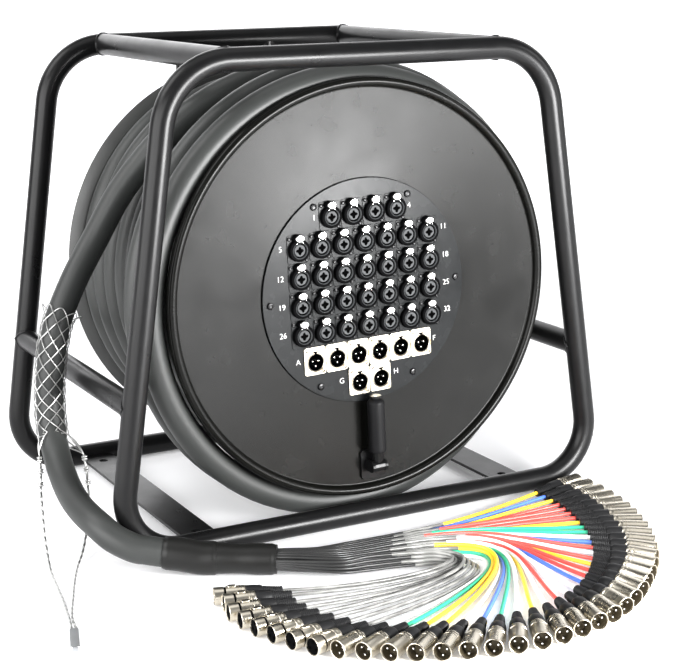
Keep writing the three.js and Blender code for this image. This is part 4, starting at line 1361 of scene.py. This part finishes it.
    def _plug_painted_shade(self) -> Surface:
        """Painted shade in a nickel socket: near-black on the cup's floor and wall, a T-shaped notch and the screws'
        recesses, where shade falls; on the cup's floor it also stands for the real black insert.

        Returns:
            The turned cup and the blocks of the notch and the recesses.
        """
        front = self.nickel_front
        # Painted shade: the cup's wall and floor, the notch and the recesses are near-black.
        cup = revolved([
            [0.0, 0.0152], [0.0088, 0.0152], [0.0088, 0.0002], [0.0092, 0.0002], [0.0092, 0.0156], [0.0, 0.0156],
        ], 32, front)
        bar = box([-0.0029, front - 0.0010, 0.0112], [0.0029, front + 0.0004, 0.0123])
        stem = box([-0.0013, front - 0.0010, 0.0090], [0.0013, front + 0.0004, 0.0113])
        recess = box([-0.0006, front - 0.00095, -0.0006], [0.0006, front - 0.0003, 0.0006])
        recesses = [recess.at(*place) for place in self.nickel_screws]
        return joined([joined([cup, bar, stem]).at(*self.cup_place), *recesses])

    def _letters(self) -> None:
        """Sets the plain numbers and letters beside the rows."""
        marks = [
            ("1", -0.0583, 0.0879), ("4", 0.0587, 0.0877), ("5", -0.1000, 0.0588), ("11", 0.1013, 0.0588),
            ("12", -0.1020, 0.0268), ("18", 0.1028, 0.0268), ("19", -0.1018, -0.0042), ("25", 0.1030, -0.0048),
            ("26", -0.1022, -0.0352), ("32", 0.1032, -0.0358), ("A", -0.0860, -0.0672), ("F", 0.0850, -0.0670),
            ("G", -0.0342, -0.0967), ("H", 0.0342, -0.0969),
        ]
        surfaces = [letter_surface(text, self.letter_size).moved(
            lambda p, x=x, z=z: np.stack([p[:, 0] + x, np.full(len(p), PANEL_FRONT) - p[:, 2], p[:, 1] + z], axis=1))
            for text, x, z in marks]
        make_piece("panel_letters", joined(surfaces).moved(on_drum), LETTER_WHITE, "drum")


def letter_surface(text: str, size: float) -> Surface:
    """The mesh of a word in Blender's own plain font, drawn in X and Y about its middle.

    Args:
        text: What it says.
        size: The height of its line.

    Returns:
        The surface, a little raised.
    """
    curve = bpy.data.curves.new("letters", "FONT")
    curve.body = text
    curve.size = size
    curve.align_x = "CENTER"
    curve.align_y = "CENTER"
    curve.extrude = 0.0001
    curve.offset = -0.0001
    curve.resolution_u = 3
    return meshed(curve)


def pierced_disc(radius: float, holes: Sequence[Sequence[float]], hole_radius: float, thickness: float) -> Surface:
    """A round plate with round holes: a flat curve of circles (r cos a, r sin a), filled between them.

    Args:
        radius: The plate's radius.
        holes: The holes' middles.
        hole_radius: Their radius.
        thickness: How thick the plate is; it is centred on z = 0.

    Returns:
        The surface, drawn in X and Y.
    """
    curve = bpy.data.curves.new("plate", "CURVE")
    curve.dimensions = "2D"
    curve.fill_mode = "BOTH"
    curve.extrude = thickness / 2
    for (x, y), ring, count in [((0.0, 0.0), radius, 160), *((hole, hole_radius, 40) for hole in holes)]:
        angle = np.arange(count) * TURN / count
        rows = np.stack([x + ring * np.cos(angle), y + ring * np.sin(angle), angle * 0, angle * 0 + 1], axis=1)
        spline = curve.splines.new("POLY")
        spline.points.add(count - 1)
        spline.points.foreach_set("co", rows.ravel())
        spline.use_cyclic_u = True
    return meshed(curve)


def meshed(curve: bpy.types.Curve) -> Surface:
    """Turns a curve or a word into a surface.

    Args:
        curve: The curve, which is put in the scene for as long as it takes.

    Returns:
        The surface.
    """
    holder = bpy.data.objects.new(curve.name, curve)
    bpy.context.scene.collection.objects.link(holder)
    mesh = bpy.data.meshes.new_from_object(holder.evaluated_get(bpy.context.evaluated_depsgraph_get()))
    points = np.empty(len(mesh.vertices) * 3)
    mesh.vertices.foreach_get("co", points)
    faces = [np.array([list(polygon.vertices)]) for polygon in mesh.polygons]
    bpy.data.objects.remove(holder)
    return Surface(points.reshape(-1, 3), faces)


def screw_head(radius: float, height: float, y: float) -> Surface:
    """A domed screw head on the face at y, with a round drive recess: a section turned about +Y."""
    return revolved([
        [0.0, 0.0], [radius, 0.0], [radius, -height * 0.45], [radius * 0.82, -height * 0.88],
        [radius * 0.5, -height], [radius * 0.42, -height * 0.55], [0.0, -height * 0.5],
    ], 16, y)


# Folding handle

@dataclass
class FoldingHandle:
    """The crank handle on the flange: bracket with its pin, arm and spinning grip."""

    pivot_radius: float = 0.198
    pivot_y: float = -0.1843
    grip_start: float = 0.017
    grip_length: float = 0.062
    grip_radius: float = 0.00975
    grip_bore: float = 0.0044
    grip_shoulder: float = 0.86
    grip_waist: float = 0.985
    grip_collar: float = 0.006
    grip_taper: float = 0.02
    dome_rise: float = 0.0066

    def build(self, nodes: dict[str, Piece]) -> None:
        """Makes the grip, a section turned about its axle, and dresses the bracket and the arm.

        Args:
            nodes: The CAD nodes by name.
        """
        dress(nodes["handle_bracket"], FRAME_COAT)
        dress(nodes["handle_arm"], FRAME_COAT)
        r, start, end = self.grip_radius, self.grip_start, self.grip_start + self.grip_length
        shoulder, round_off = r * self.grip_shoulder, r * (1 - self.grip_shoulder)
        waist, taper, collar = r * self.grip_waist, self.grip_taper, self.grip_collar
        corner = arc((shoulder, start + round_off), round_off, -90, 0, 5)
        profile = [[self.grip_bore, start], [shoulder, start], *corner[1:]]
        profile += [[r, start + collar], [waist, start + taper], [waist, end - taper], [r, end - collar]]
        dome = np.radians(np.linspace(8, 63, 9))
        profile += np.stack([r * np.cos(dome), end - collar + self.dome_rise * np.sin(dome)], axis=1).tolist()
        grip = revolved(profile, 48).moved(
            lambda p: np.stack([p[:, 0], p[:, 2] + self.pivot_y, p[:, 1] - self.pivot_radius], axis=1))
        make_piece("handle_grip_sleeve", grip.moved(on_drum), GRIP_RUBBER, "handle_grip",
                   ["handle_grip"])


# Pulling grip and ropes

@dataclass
class PullingGrip:
    """The woven wire sleeve round the free run, its two rope legs and the clip."""

    start_share: float = 0.604
    end_share: float = 0.752
    strands: int = 7
    wire_radius: float = 0.00058
    turns: float = 1.10
    loop_share: float = 0.030
    gather: tuple[Triple, ...] = ((-0.3400, -0.0560, 0.0950), (-0.2895, -0.0550, 0.0880))
    wire_gap: float = 0.0018
    wire_wave: float = 0.0005
    wire_stations: int = 181
    cable_stations: int = 140
    cross_lift: float = 0.0012
    cross_layer: float = 0.0022
    cross_width: float = 0.06
    rope_lay: float = 0.011
    rope_thin: float = 0.80
    rope_strands: int = 3
    strand_depth: float = 0.24
    rope_station_gap: float = 0.0012
    ferrule_starts: tuple[int, ...] = (2, 13, 25)
    ferrule_radius: float = 0.0016
    ferrule_length: float = 0.0054
    rope_radius: float = 0.0015
    clip_width: float = 0.009
    clip_length: float = 0.044
    clip_height: float = 0.005
    clip_waists: tuple[Triple, Triple] = ((0.30, 0.45, 0.22), (0.12, -0.55, 0.2))
    clip_place: Pair = (-0.394, -0.312)
    clip_heading: Pair = (-0.3, -0.954)

    def build(self, run: Array) -> list[Piece]:
        """Weaves the wires and lays the ropes and the clip.

        Args:
            run: The free run's centreline.

        Returns:
            The woven piece, in a list.
        """
        weave = make_piece("grip_weave", self._weave(run), WIRE, "root", ["pulling_grip"])
        clip = self._clip()
        legs = {
            "left": [[-341, -60, 82], [-345, -70, 64], [-350, -88, 46], [-356, -110, 28], [-361, -134, 11],
                     [-366, -160, 3], [-372, -195, 2.4], [-380, -240, 2.4], [-389, -284, 2.4]],
            "right": [[-290, -60, 76], [-292, -70, 60], [-298, -86, 40], [-308, -106, 22], [-322, -132, 9],
                      [-338, -160, 3], [-353, -195, 2.4], [-368, -234, 2.4], [-386, -284, 2.4]],
        }
        heading = unit(np.array([*self.clip_heading, 0.0]))
        side = np.array([-heading[1], heading[0], 0.0])
        place = np.array([*self.clip_place, self.rope_radius + FLOOR_GAP])
        for (name, points), sign, start in zip(legs.items(), (-1, 1), self.gather):
            meets = place + side * sign * self.clip_width / 4 - heading * FLOOR_GAP
            lead = SNAKE_RADIUS * 0.6 / 3
            points = np.concatenate([
                [start], np.array(points) * MM, [meets - heading * 2 * lead, meets - heading * lead, meets]
            ])
            path = curve_through(points, self.rope_station_gap)
            twisted = tube(path, self.rope_radius * self.rope_thin, 12, lobes=self.rope_strands,
                           lobe_depth=self.strand_depth, lobe_pitch=self.rope_lay)
            rope = make_piece(
                f"rope_leg_{name}", joined([twisted, *self._ferrules(path)]), WIRE, "root",
                [f"rope_{name}"],
            )
        return [weave]

    def _weave(self, run: Array) -> Surface:
        """Wires wound both ways: angle = first + way * turns * share, just off the cable.

        The radius waves a little so that one wire passes over the other where they cross.

        Args:
            run: The free run's centreline.

        Returns:
            All the wires in one surface.
        """
        reach = reach_along(run)
        shares = np.linspace(self.start_share, self.end_share + 0.05, self.cable_stations)
        centre = spread(shares * reach[-1], reach, run)
        _, across, beside = path_frames(centre)
        u = np.linspace(-1, 1, self.wire_stations)
        rounded = np.sqrt(u**2 + self.loop_share**2) - self.loop_share
        lattice = self.start_share + (self.end_share - self.start_share) * rounded / rounded[0]
        wires = []
        for k in range(self.strands):
            angle = TURN * (k / self.strands + self.turns * u)
            over = self.wire_wave * np.sign(u) * np.cos(2 * self.strands * self.turns * math.pi * np.abs(u))
            lift = (self.cross_lift + self.cross_layer * ((k * 5) % 3)) * np.exp(-(u / self.cross_width) ** 2)
            radius = SNAKE_RADIUS + self.wire_gap + over + lift
            rows = [np.stack([lattice, angle, radius], axis=1)]
            for end in (0, -1):
                last = rows[0][end]
                ahead = self._gathering(last, shares, centre, across, beside)
                rows = [ahead[::-1], *rows] if end == 0 else [*rows, ahead]
            share, angle, radius = np.concatenate(rows).T
            path = spread(share, shares, centre) + radius[:, None] * (
                np.cos(angle)[:, None] * spread(share, shares, across)
                + np.sin(angle)[:, None] * spread(share, shares, beside))
            wires.append(tube(path, self.wire_radius, 6))
        return joined(wires)

    def _gathering(self, last: Array, shares: Array, centre: Array, across: Array, beside: Array) -> Array:
        """The last stretch of a wire, from the lattice round the cable to the nearer rope.

        The angle eases to the rope's, and the radius widens with the smooth step.

        Args:
            last: The wire's last share, angle and radius.
            shares: The shares of the stations below.
            centre: The cable's centreline at those shares.
            across: Its across directions.
            beside: Its beside directions.

        Returns:
            Rows of share, angle and radius.
        """
        targets = []
        for place in np.array(self.gather):
            nearest = int(np.argmin(np.linalg.norm(centre - place, axis=1)))
            away = place - centre[nearest]
            angle = math.atan2(float(away @ beside[nearest]), float(away @ across[nearest]))
            turn = (angle - last[1] + math.pi) % TURN - math.pi
            targets.append((abs(turn), shares[nearest], last[1] + turn, float(np.linalg.norm(away))))
        _, share, angle, radius = min(targets)
        v = np.linspace(0, 1, 16)[1:]
        ease = 1 - (1 - v) ** 2
        return np.stack([
            last[0] + (share - last[0]) * v, last[1] + (angle - last[1]) * ease,
            last[2] + (radius - last[2]) * smooth(v),
        ], axis=1)

    def _ferrules(self, path: Array) -> list[Surface]:
        """Three knotted ferrules at the top of a rope: radius = bead of two humps along it.

        Args:
            path: The rope's centreline.

        Returns:
            One surface for each ferrule.
        """
        share = np.linspace(0, 1, 15)
        hump = self.ferrule_radius * (1 + np.abs(np.sin(share * TURN)) ** 0.5)
        ferrules = []
        for start in self.ferrule_starts:
            middle, ahead = path[start], unit(path[start + 2] - path[start])
            line = middle + ahead * ((share - 0.5) * self.ferrule_length)[:, None]
            ferrules.append(tube(line, hump, 14))
        return ferrules

    def _clip(self) -> Piece:
        """The crimped clip that holds both rope ends: a flat rounded bar with two pressed waists.

        Its width is multiplied by 1, less depth * exp(-((along - middle) / width)^2) at each waist.

        Returns:
            The piece.
        """
        half = self.clip_length / 2
        outline = rounded_outline(self.clip_width, self.clip_length, 0.0022, 10)
        along = outline[:, 1] / half
        waist = 1 - sum(d * np.exp(-((along - middle) / width) ** 2) for d, middle, width in self.clip_waists)
        outline = np.stack([outline[:, 0] * waist, outline[:, 1]], axis=1)
        plate = slab(outline, 0.0, self.clip_height, 0.0012)
        heading = unit(np.array(self.clip_heading))
        x, y = self.clip_place

        def place(points: Array) -> Array:
            """Lays the bar on the floor along its heading."""
            along, across = points[:, 2] + half, points[:, 0]
            return np.stack([
                x + heading[0] * along - heading[1] * across, y + heading[1] * along + heading[0] * across,
                self.clip_height + FLOOR_GAP - points[:, 1],
            ], axis=1)

        return make_piece("rope_clip_bar", plate.moved(place), STEEL, "root", ["rope_clip"])


# Tails and their plugs

CONTACT_REACH = 0.0042
SHELL_BACK = (
    (0.0091, 0.0262), (0.0088, 0.0265), (0.0088, 0.0272), (0.0091, 0.0275), (0.0091, 0.0296), (0.0087, 0.0300),
    (0.0087, 0.0308), (0.0089, 0.0312), (0.0088, 0.0340), (0.0084, 0.0350), (0.0, 0.0350),
)


@dataclass
class TailFan:
    """Forty tails from the breakout to their plugs, in a fan on the floor."""

    count: int = 40
    females: int = 8
    per_group: int = 8
    rows: int = 4
    pitch: float = 0.0048
    slice_pitch: float = 0.0061
    slice_gap: float = 0.0005
    tail_radius: float = 0.002
    tail_sides: int = 10
    station_gap: float = 0.005
    core_thickness: float = 0.86
    zone_thickness: float = 0.11
    core_reach: Pair = (0.128, 0.030)
    sheath_reach: Pair = (0.172, 0.060)
    bundle_squeeze: float = 0.93
    bundle_height: float = 0.009
    breakout_length: float = 0.014
    fan_centre: Pair = (-0.015, -0.258)
    fan_radius: float = 0.285
    first_angle: float = -166.0
    last_angle: float = 10.5
    plug_height: float = 0.0096
    shell_length: float = 0.0315
    boot_length: float = 0.0369
    length_share: float = 0.9
    declared: int = 37
    colours: str = "wgyywbgwywrwwbrryrwrbwggyrrrrybyrybyy"

    def build(self, snake: Snake) -> None:
        """Lays the tails and puts a plug on each.

        Args:
            snake: The snake, for its breakout.
        """
        nodes = [f"tails_{group + 1}" for group in range(5)]
        skipped = self.count - self.declared
        for index in range(self.count):
            path = curve_through(self._points(index, snake), self.station_gap)
            colour = self._colour(index)
            finish = TailFinish(
                f"tail_{colour.name.lower()}", colour.value, 0.36, grain_size=0.0009, along=True, spread=0.05
            )
            zone = self._zones(index, path)
            thickness = self.core_thickness + self.zone_thickness * zone
            surface = tube(path, self.tail_radius * thickness, self.tail_sides)
            surface.zone = np.repeat(zone, self.tail_sides)
            tail = make_piece(
                f"tail_{index + 1:02d}", surface, finish, "root", [nodes[index // self.per_group]],
            )
            plug = self._plug(index)
            if self.females <= index < self.females + skipped:
                continue

    def _zones(self, index: int, path: Array) -> Array:
        """Where a tail is bare core, sheath and sleeve: 0, 1 and 2, from its length so far.

        Each change comes at a least length plus a share of a spread; a female tail has no sleeve.

        Args:
            index: The tail's number.
            path: Its centreline.

        Returns:
            The zone at each station.
        """
        reach = reach_along(path)
        sheath = self.core_reach[0] + self.core_reach[1] * (((index * 7) % 11) / 11)
        sleeve = math.inf
        if index >= self.females:
            sleeve = self.sheath_reach[0] + self.sheath_reach[1] * (((index * 5) % 9) / 9)
        return (reach > sheath).astype(float) + (reach > sleeve)

    def place(self, index: int) -> tuple[Array, float, Array]:
        """Where a plug lies.

        Args:
            index: The tail's number, from the first female plug.

        Returns:
            The middle of its open face, its turn and its heading.
        """
        share = index / (self.count - 1)
        angle = math.radians(self.first_angle + share * (self.last_angle - self.first_angle))
        radius = self.fan_radius * table(
            share, [0, 0.026, 0.052, 0.1, 0.18, 0.42, 0.52, 0.62, 0.72, 0.82, 0.9, 1],
            [0.86, 0.875, 0.925, 0.975, 1.045, 1.075, 1.045, 1.0, 0.975, 0.965, 0.975, 1.0])
        turn = angle + math.radians(table(share, [0, 0.2, 0.32, 0.52, 1], [-31, -30, -27, -19, 0]))
        x, y = self.fan_centre
        face = np.array([x + radius * math.cos(angle), y + radius * math.sin(angle), self.plug_height])
        return face, turn, np.array([math.cos(turn), math.sin(turn), 0.0])

    def _points(self, index: int, snake: Snake) -> Array:
        """The points that a tail's route goes through: sleeve, bundle, throat, a bend and the boot.

        Args:
            index: The tail's number.
            snake: The snake, for its breakout.

        Returns:
            The points from the breakout to inside the boot.
        """
        group, member = divmod(index, self.per_group)
        column = member // self.rows
        level = self.rows - 1 - member % self.rows if group == 0 else member % self.rows
        share = index / (self.count - 1)
        across = group - 2
        out, joint = np.array(snake.breakout), np.array(snake.sleeve_joint)
        heading = unit(out - joint)
        sideways = np.array([-heading[1], heading[0], 0.0])
        offset = across * self.slice_pitch + (column - 0.5) * self.slice_pitch / 2
        chord = 2 * math.sqrt(SNAKE_RADIUS**2 - offset**2) - 2 * self.tail_radius
        lift = ((level + 0.5) / self.rows - 0.5) * max(chord, self.bundle_height)
        rest = self.tail_radius + FLOOR_GAP
        start = out + (sideways * offset + np.array([0, 0, lift])) * self.bundle_squeeze
        clear = out + heading * self.breakout_length + sideways * offset + np.array([0, 0, lift])
        throat = self._fan_point(-0.246, -0.147, rest + self.tail_radius + (level + 0.25) * self.pitch)
        throat[1] += across * (2 * self.pitch + self.slice_gap) + (column - 0.5) * self.pitch
        before = throat + (clear - throat) * 0.35
        before[1] = throat[1]
        face, _, way = self.place(index)
        boot = face - way * (self.shell_length + self.boot_length)
        lead_reach = self.fan_radius * table(
            share, [0, 0.18, 0.205, 0.385, 0.41, 0.59, 1], [0.61, 0.66, 0.73, 0.75, 0.8, 0.7, 0.44])
        drift = table(share, [0, 0.18, 0.205, 0.385, 0.41, 0.6, 1], [0.13, 0.13, 0.05, 0.03, -0.01, -0.03, -0.03])
        lead = throat + np.array([lead_reach, -lead_reach * drift, 0.0])
        lead[2] = rest + level * self.pitch * 0.9
        back_reach = self.fan_radius * table(
            share, [0, 0.18, 0.205, 0.385, 0.59, 1], [0.6, 0.66, 0.7, 0.55, 0.42, 0.386])
        back = boot - way * back_reach
        back[2] = rest
        t = np.linspace(0, 1, 15)[:, None]
        bend = (1 - t) ** 3 * throat + 3 * (1 - t) ** 2 * t * lead + 3 * (1 - t) * t**2 * back + t**3 * boot
        inside = boot + way * self.boot_length / 4
        return np.concatenate([[start - heading * 0.004, start, clear, before], bend, [inside]])

    def _fan_point(self, x_share: float, y_share: float, z: float) -> Array:
        """A point given in shares of the fan's radius from its middle."""
        x, y = self.fan_centre
        return np.array([x + x_share * self.fan_radius, y + y_share * self.fan_radius, z])

    def _colour(self, index: int) -> TailColour:
        """The sleeve colour of a tail; the female ones are grey."""
        letter = self.colours[(index - self.females) % len(self.colours)]
        return TailColour.GREY if index < self.females else TAIL_LETTERS[letter]

    def _plug(self, index: int) -> list[Piece]:
        """Makes one plug: its nickel shell and its rubber boot with the insert.

        Args:
            index: The tail's number.

        Returns:
            The two pieces.
        """
        face, turn, _ = self.place(index)
        female = index < self.females
        c, s = math.cos(turn), math.sin(turn)

        def lay(points: Array) -> Array:
            """Points with +Y back along the plug, laid on the floor with its face at its place."""
            back, side, up = -points[:, 1] * self.length_share, points[:, 0], points[:, 2]
            return np.stack([face[0] + back * c - side * s, face[1] + back * s + side * c, face[2] + up], axis=1)

        shell, mouth = (female_shell(), female_mouth()) if female else (male_shell(), male_mouth())
        name = f"plug_{index + 1:02d}"
        return [
            make_piece(f"{name}_shell", shell.moved(lay), NICKEL, "root"),
            make_piece(f"{name}_boot", plug_boot().moved(lay), BOOT_RUBBER, "root",
                       extras=[(part.moved(lay), finish) for part, finish in mouth]),
        ]


def table(share: float, places: Sequence[float], values: Sequence[float]) -> float:
    """A value read from a table by straight lines between its places."""
    return float(np.interp(share, places, values))


def male_shell() -> Surface:
    """An open nickel barrel with a rolled mouth and two thin grooves near its back: a turned section."""
    mouth = ((0.0080, 0.0010), (0.0082, 0.0003), (0.0086, 0.0), (0.0090, 0.0003), (0.0092, 0.0011), (0.0090, 0.0020))
    return revolved([*mouth, *SHELL_BACK, (0.0, 0.0150), (0.0083, 0.0150)], 36)


def male_mouth() -> list[tuple[Surface, Finish]]:
    """The wall, floor and key inside a male plug in painted shade, a dark nickel-brown, and its three pins: turned
    sections and a key.

    Returns:
        The two surfaces with their finishes.
    """
    # Painted shade: the lining and key take the dark nickel-brown of the barrel's shaded inside.
    liner = revolved([
        [0.0, 0.0142], [0.0079, 0.0142], [0.0079, 0.0020], [0.0083, 0.0018], [0.0083, 0.0180], [0.0, 0.0180]
    ], 32)
    key = box([-0.0012, 0.0014, 0.0070], [0.0012, 0.0140, 0.0082])
    pin = revolved([[0.0, 0.0035], [0.0008, 0.0037], [0.0012, 0.0046], [0.0012, 0.0155], [0.0, 0.0155]], 12)
    return [(joined([liner, key]), MOUTH_PAINTED_SHADE), (ringed(pin, CONTACT_REACH, PIN_ANGLES), PIN_STEEL)]


def female_shell() -> Surface:
    """A nickel barrel in two parts with a deep groove between, a ridged back and a latch.

    Returns:
        The turned barrel and the latch, a plate laid on it.
    """
    shell = revolved([
        (0.0080, 0.0006), (0.0083, 0.0), (0.0087, 0.0004), (0.0088, 0.0012), (0.0088, 0.0108), (0.0079, 0.0112),
        (0.0079, 0.0130), (0.0089, 0.0134), (0.0091, 0.0142), *SHELL_BACK, (0.0, 0.0030), (0.0080, 0.0030),
    ], 36)
    latch = slab(rounded_outline(0.0054, 0.0095, 0.0020), -0.0102, -0.0080, 0.0007).moved(
        lambda p: np.stack([p[:, 0], p[:, 2] + 0.0200, -p[:, 1]], axis=1))
    return joined([shell, latch])


def female_mouth() -> list[tuple[Surface, Finish]]:
    """The black face of a female plug with three holes in painted shade, and the dark ring in its groove: turned
    sections.

    Returns:
        The two surfaces with their finishes.
    """
    face = revolved([[0.0, 0.0012], [0.0074, 0.0012], [0.0079, 0.0017], [0.0079, 0.005], [0.0, 0.005]], 32)
    ring = revolved([[0.0070, 0.0110], [0.0082, 0.0112], [0.0082, 0.0131], [0.0070, 0.0133]], 32)
    # Painted shade: three near-black discs where the contact holes fall into shade.
    hole = revolved([[0.0, 0.0010], [0.0015, 0.0010], [0.0016, 0.0016], [0.0, 0.0016]], 14)
    return [(joined([face, ring]), SOCKET_BLACK), (ringed(hole, CONTACT_REACH, HOLE_ANGLES), PAINTED_SHADE_BLACK)]


def plug_boot() -> Surface:
    """A rubber boot, a turned section: a smooth collar, a step, and a taper with nine ribs down to the tail.

    On the taper, radius = a straight fall, less the ribs' raised cosine to the power 0.6.

    Returns:
        The closed surface.
    """
    ribs = np.linspace(0, 1, 73)
    outer = 0.0067 - 0.0019 * ribs - 0.0006 * (0.5 - 0.5 * np.cos(ribs * TURN * 9)) ** 0.6
    tapered = np.stack([outer, 0.0535 + ribs * 0.0205], axis=1).tolist()
    return revolved([
        [0.0, 0.0345], [0.0080, 0.0345], [0.0084, 0.0352], [0.0082, 0.0440], [0.0077, 0.0515], [0.0070, 0.0532],
        *tapered, [0.0046, 0.0757], [0.0038, 0.0760], [0.0021, 0.0760], [0.0, 0.0750],
    ], 32)


def main() -> None:
    """Builds the object in order and reports each piece."""
    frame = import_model()
    studio = Studio()
    studio.add_camera()
    snake = Snake()
    path, run = snake.build()
    sleeves = snake.build_sleeves()
    weave = PullingGrip().build(path)
    TailFan().build(snake)
    TubularFrame().build()
    Drum().build(frame["nodes"])
    SocketPanel().build()
    FoldingHandle().build(frame["nodes"])
    studio.add_light()


if __name__ == "__main__":
    logging.basicConfig(level=logging.WARNING)
    main()
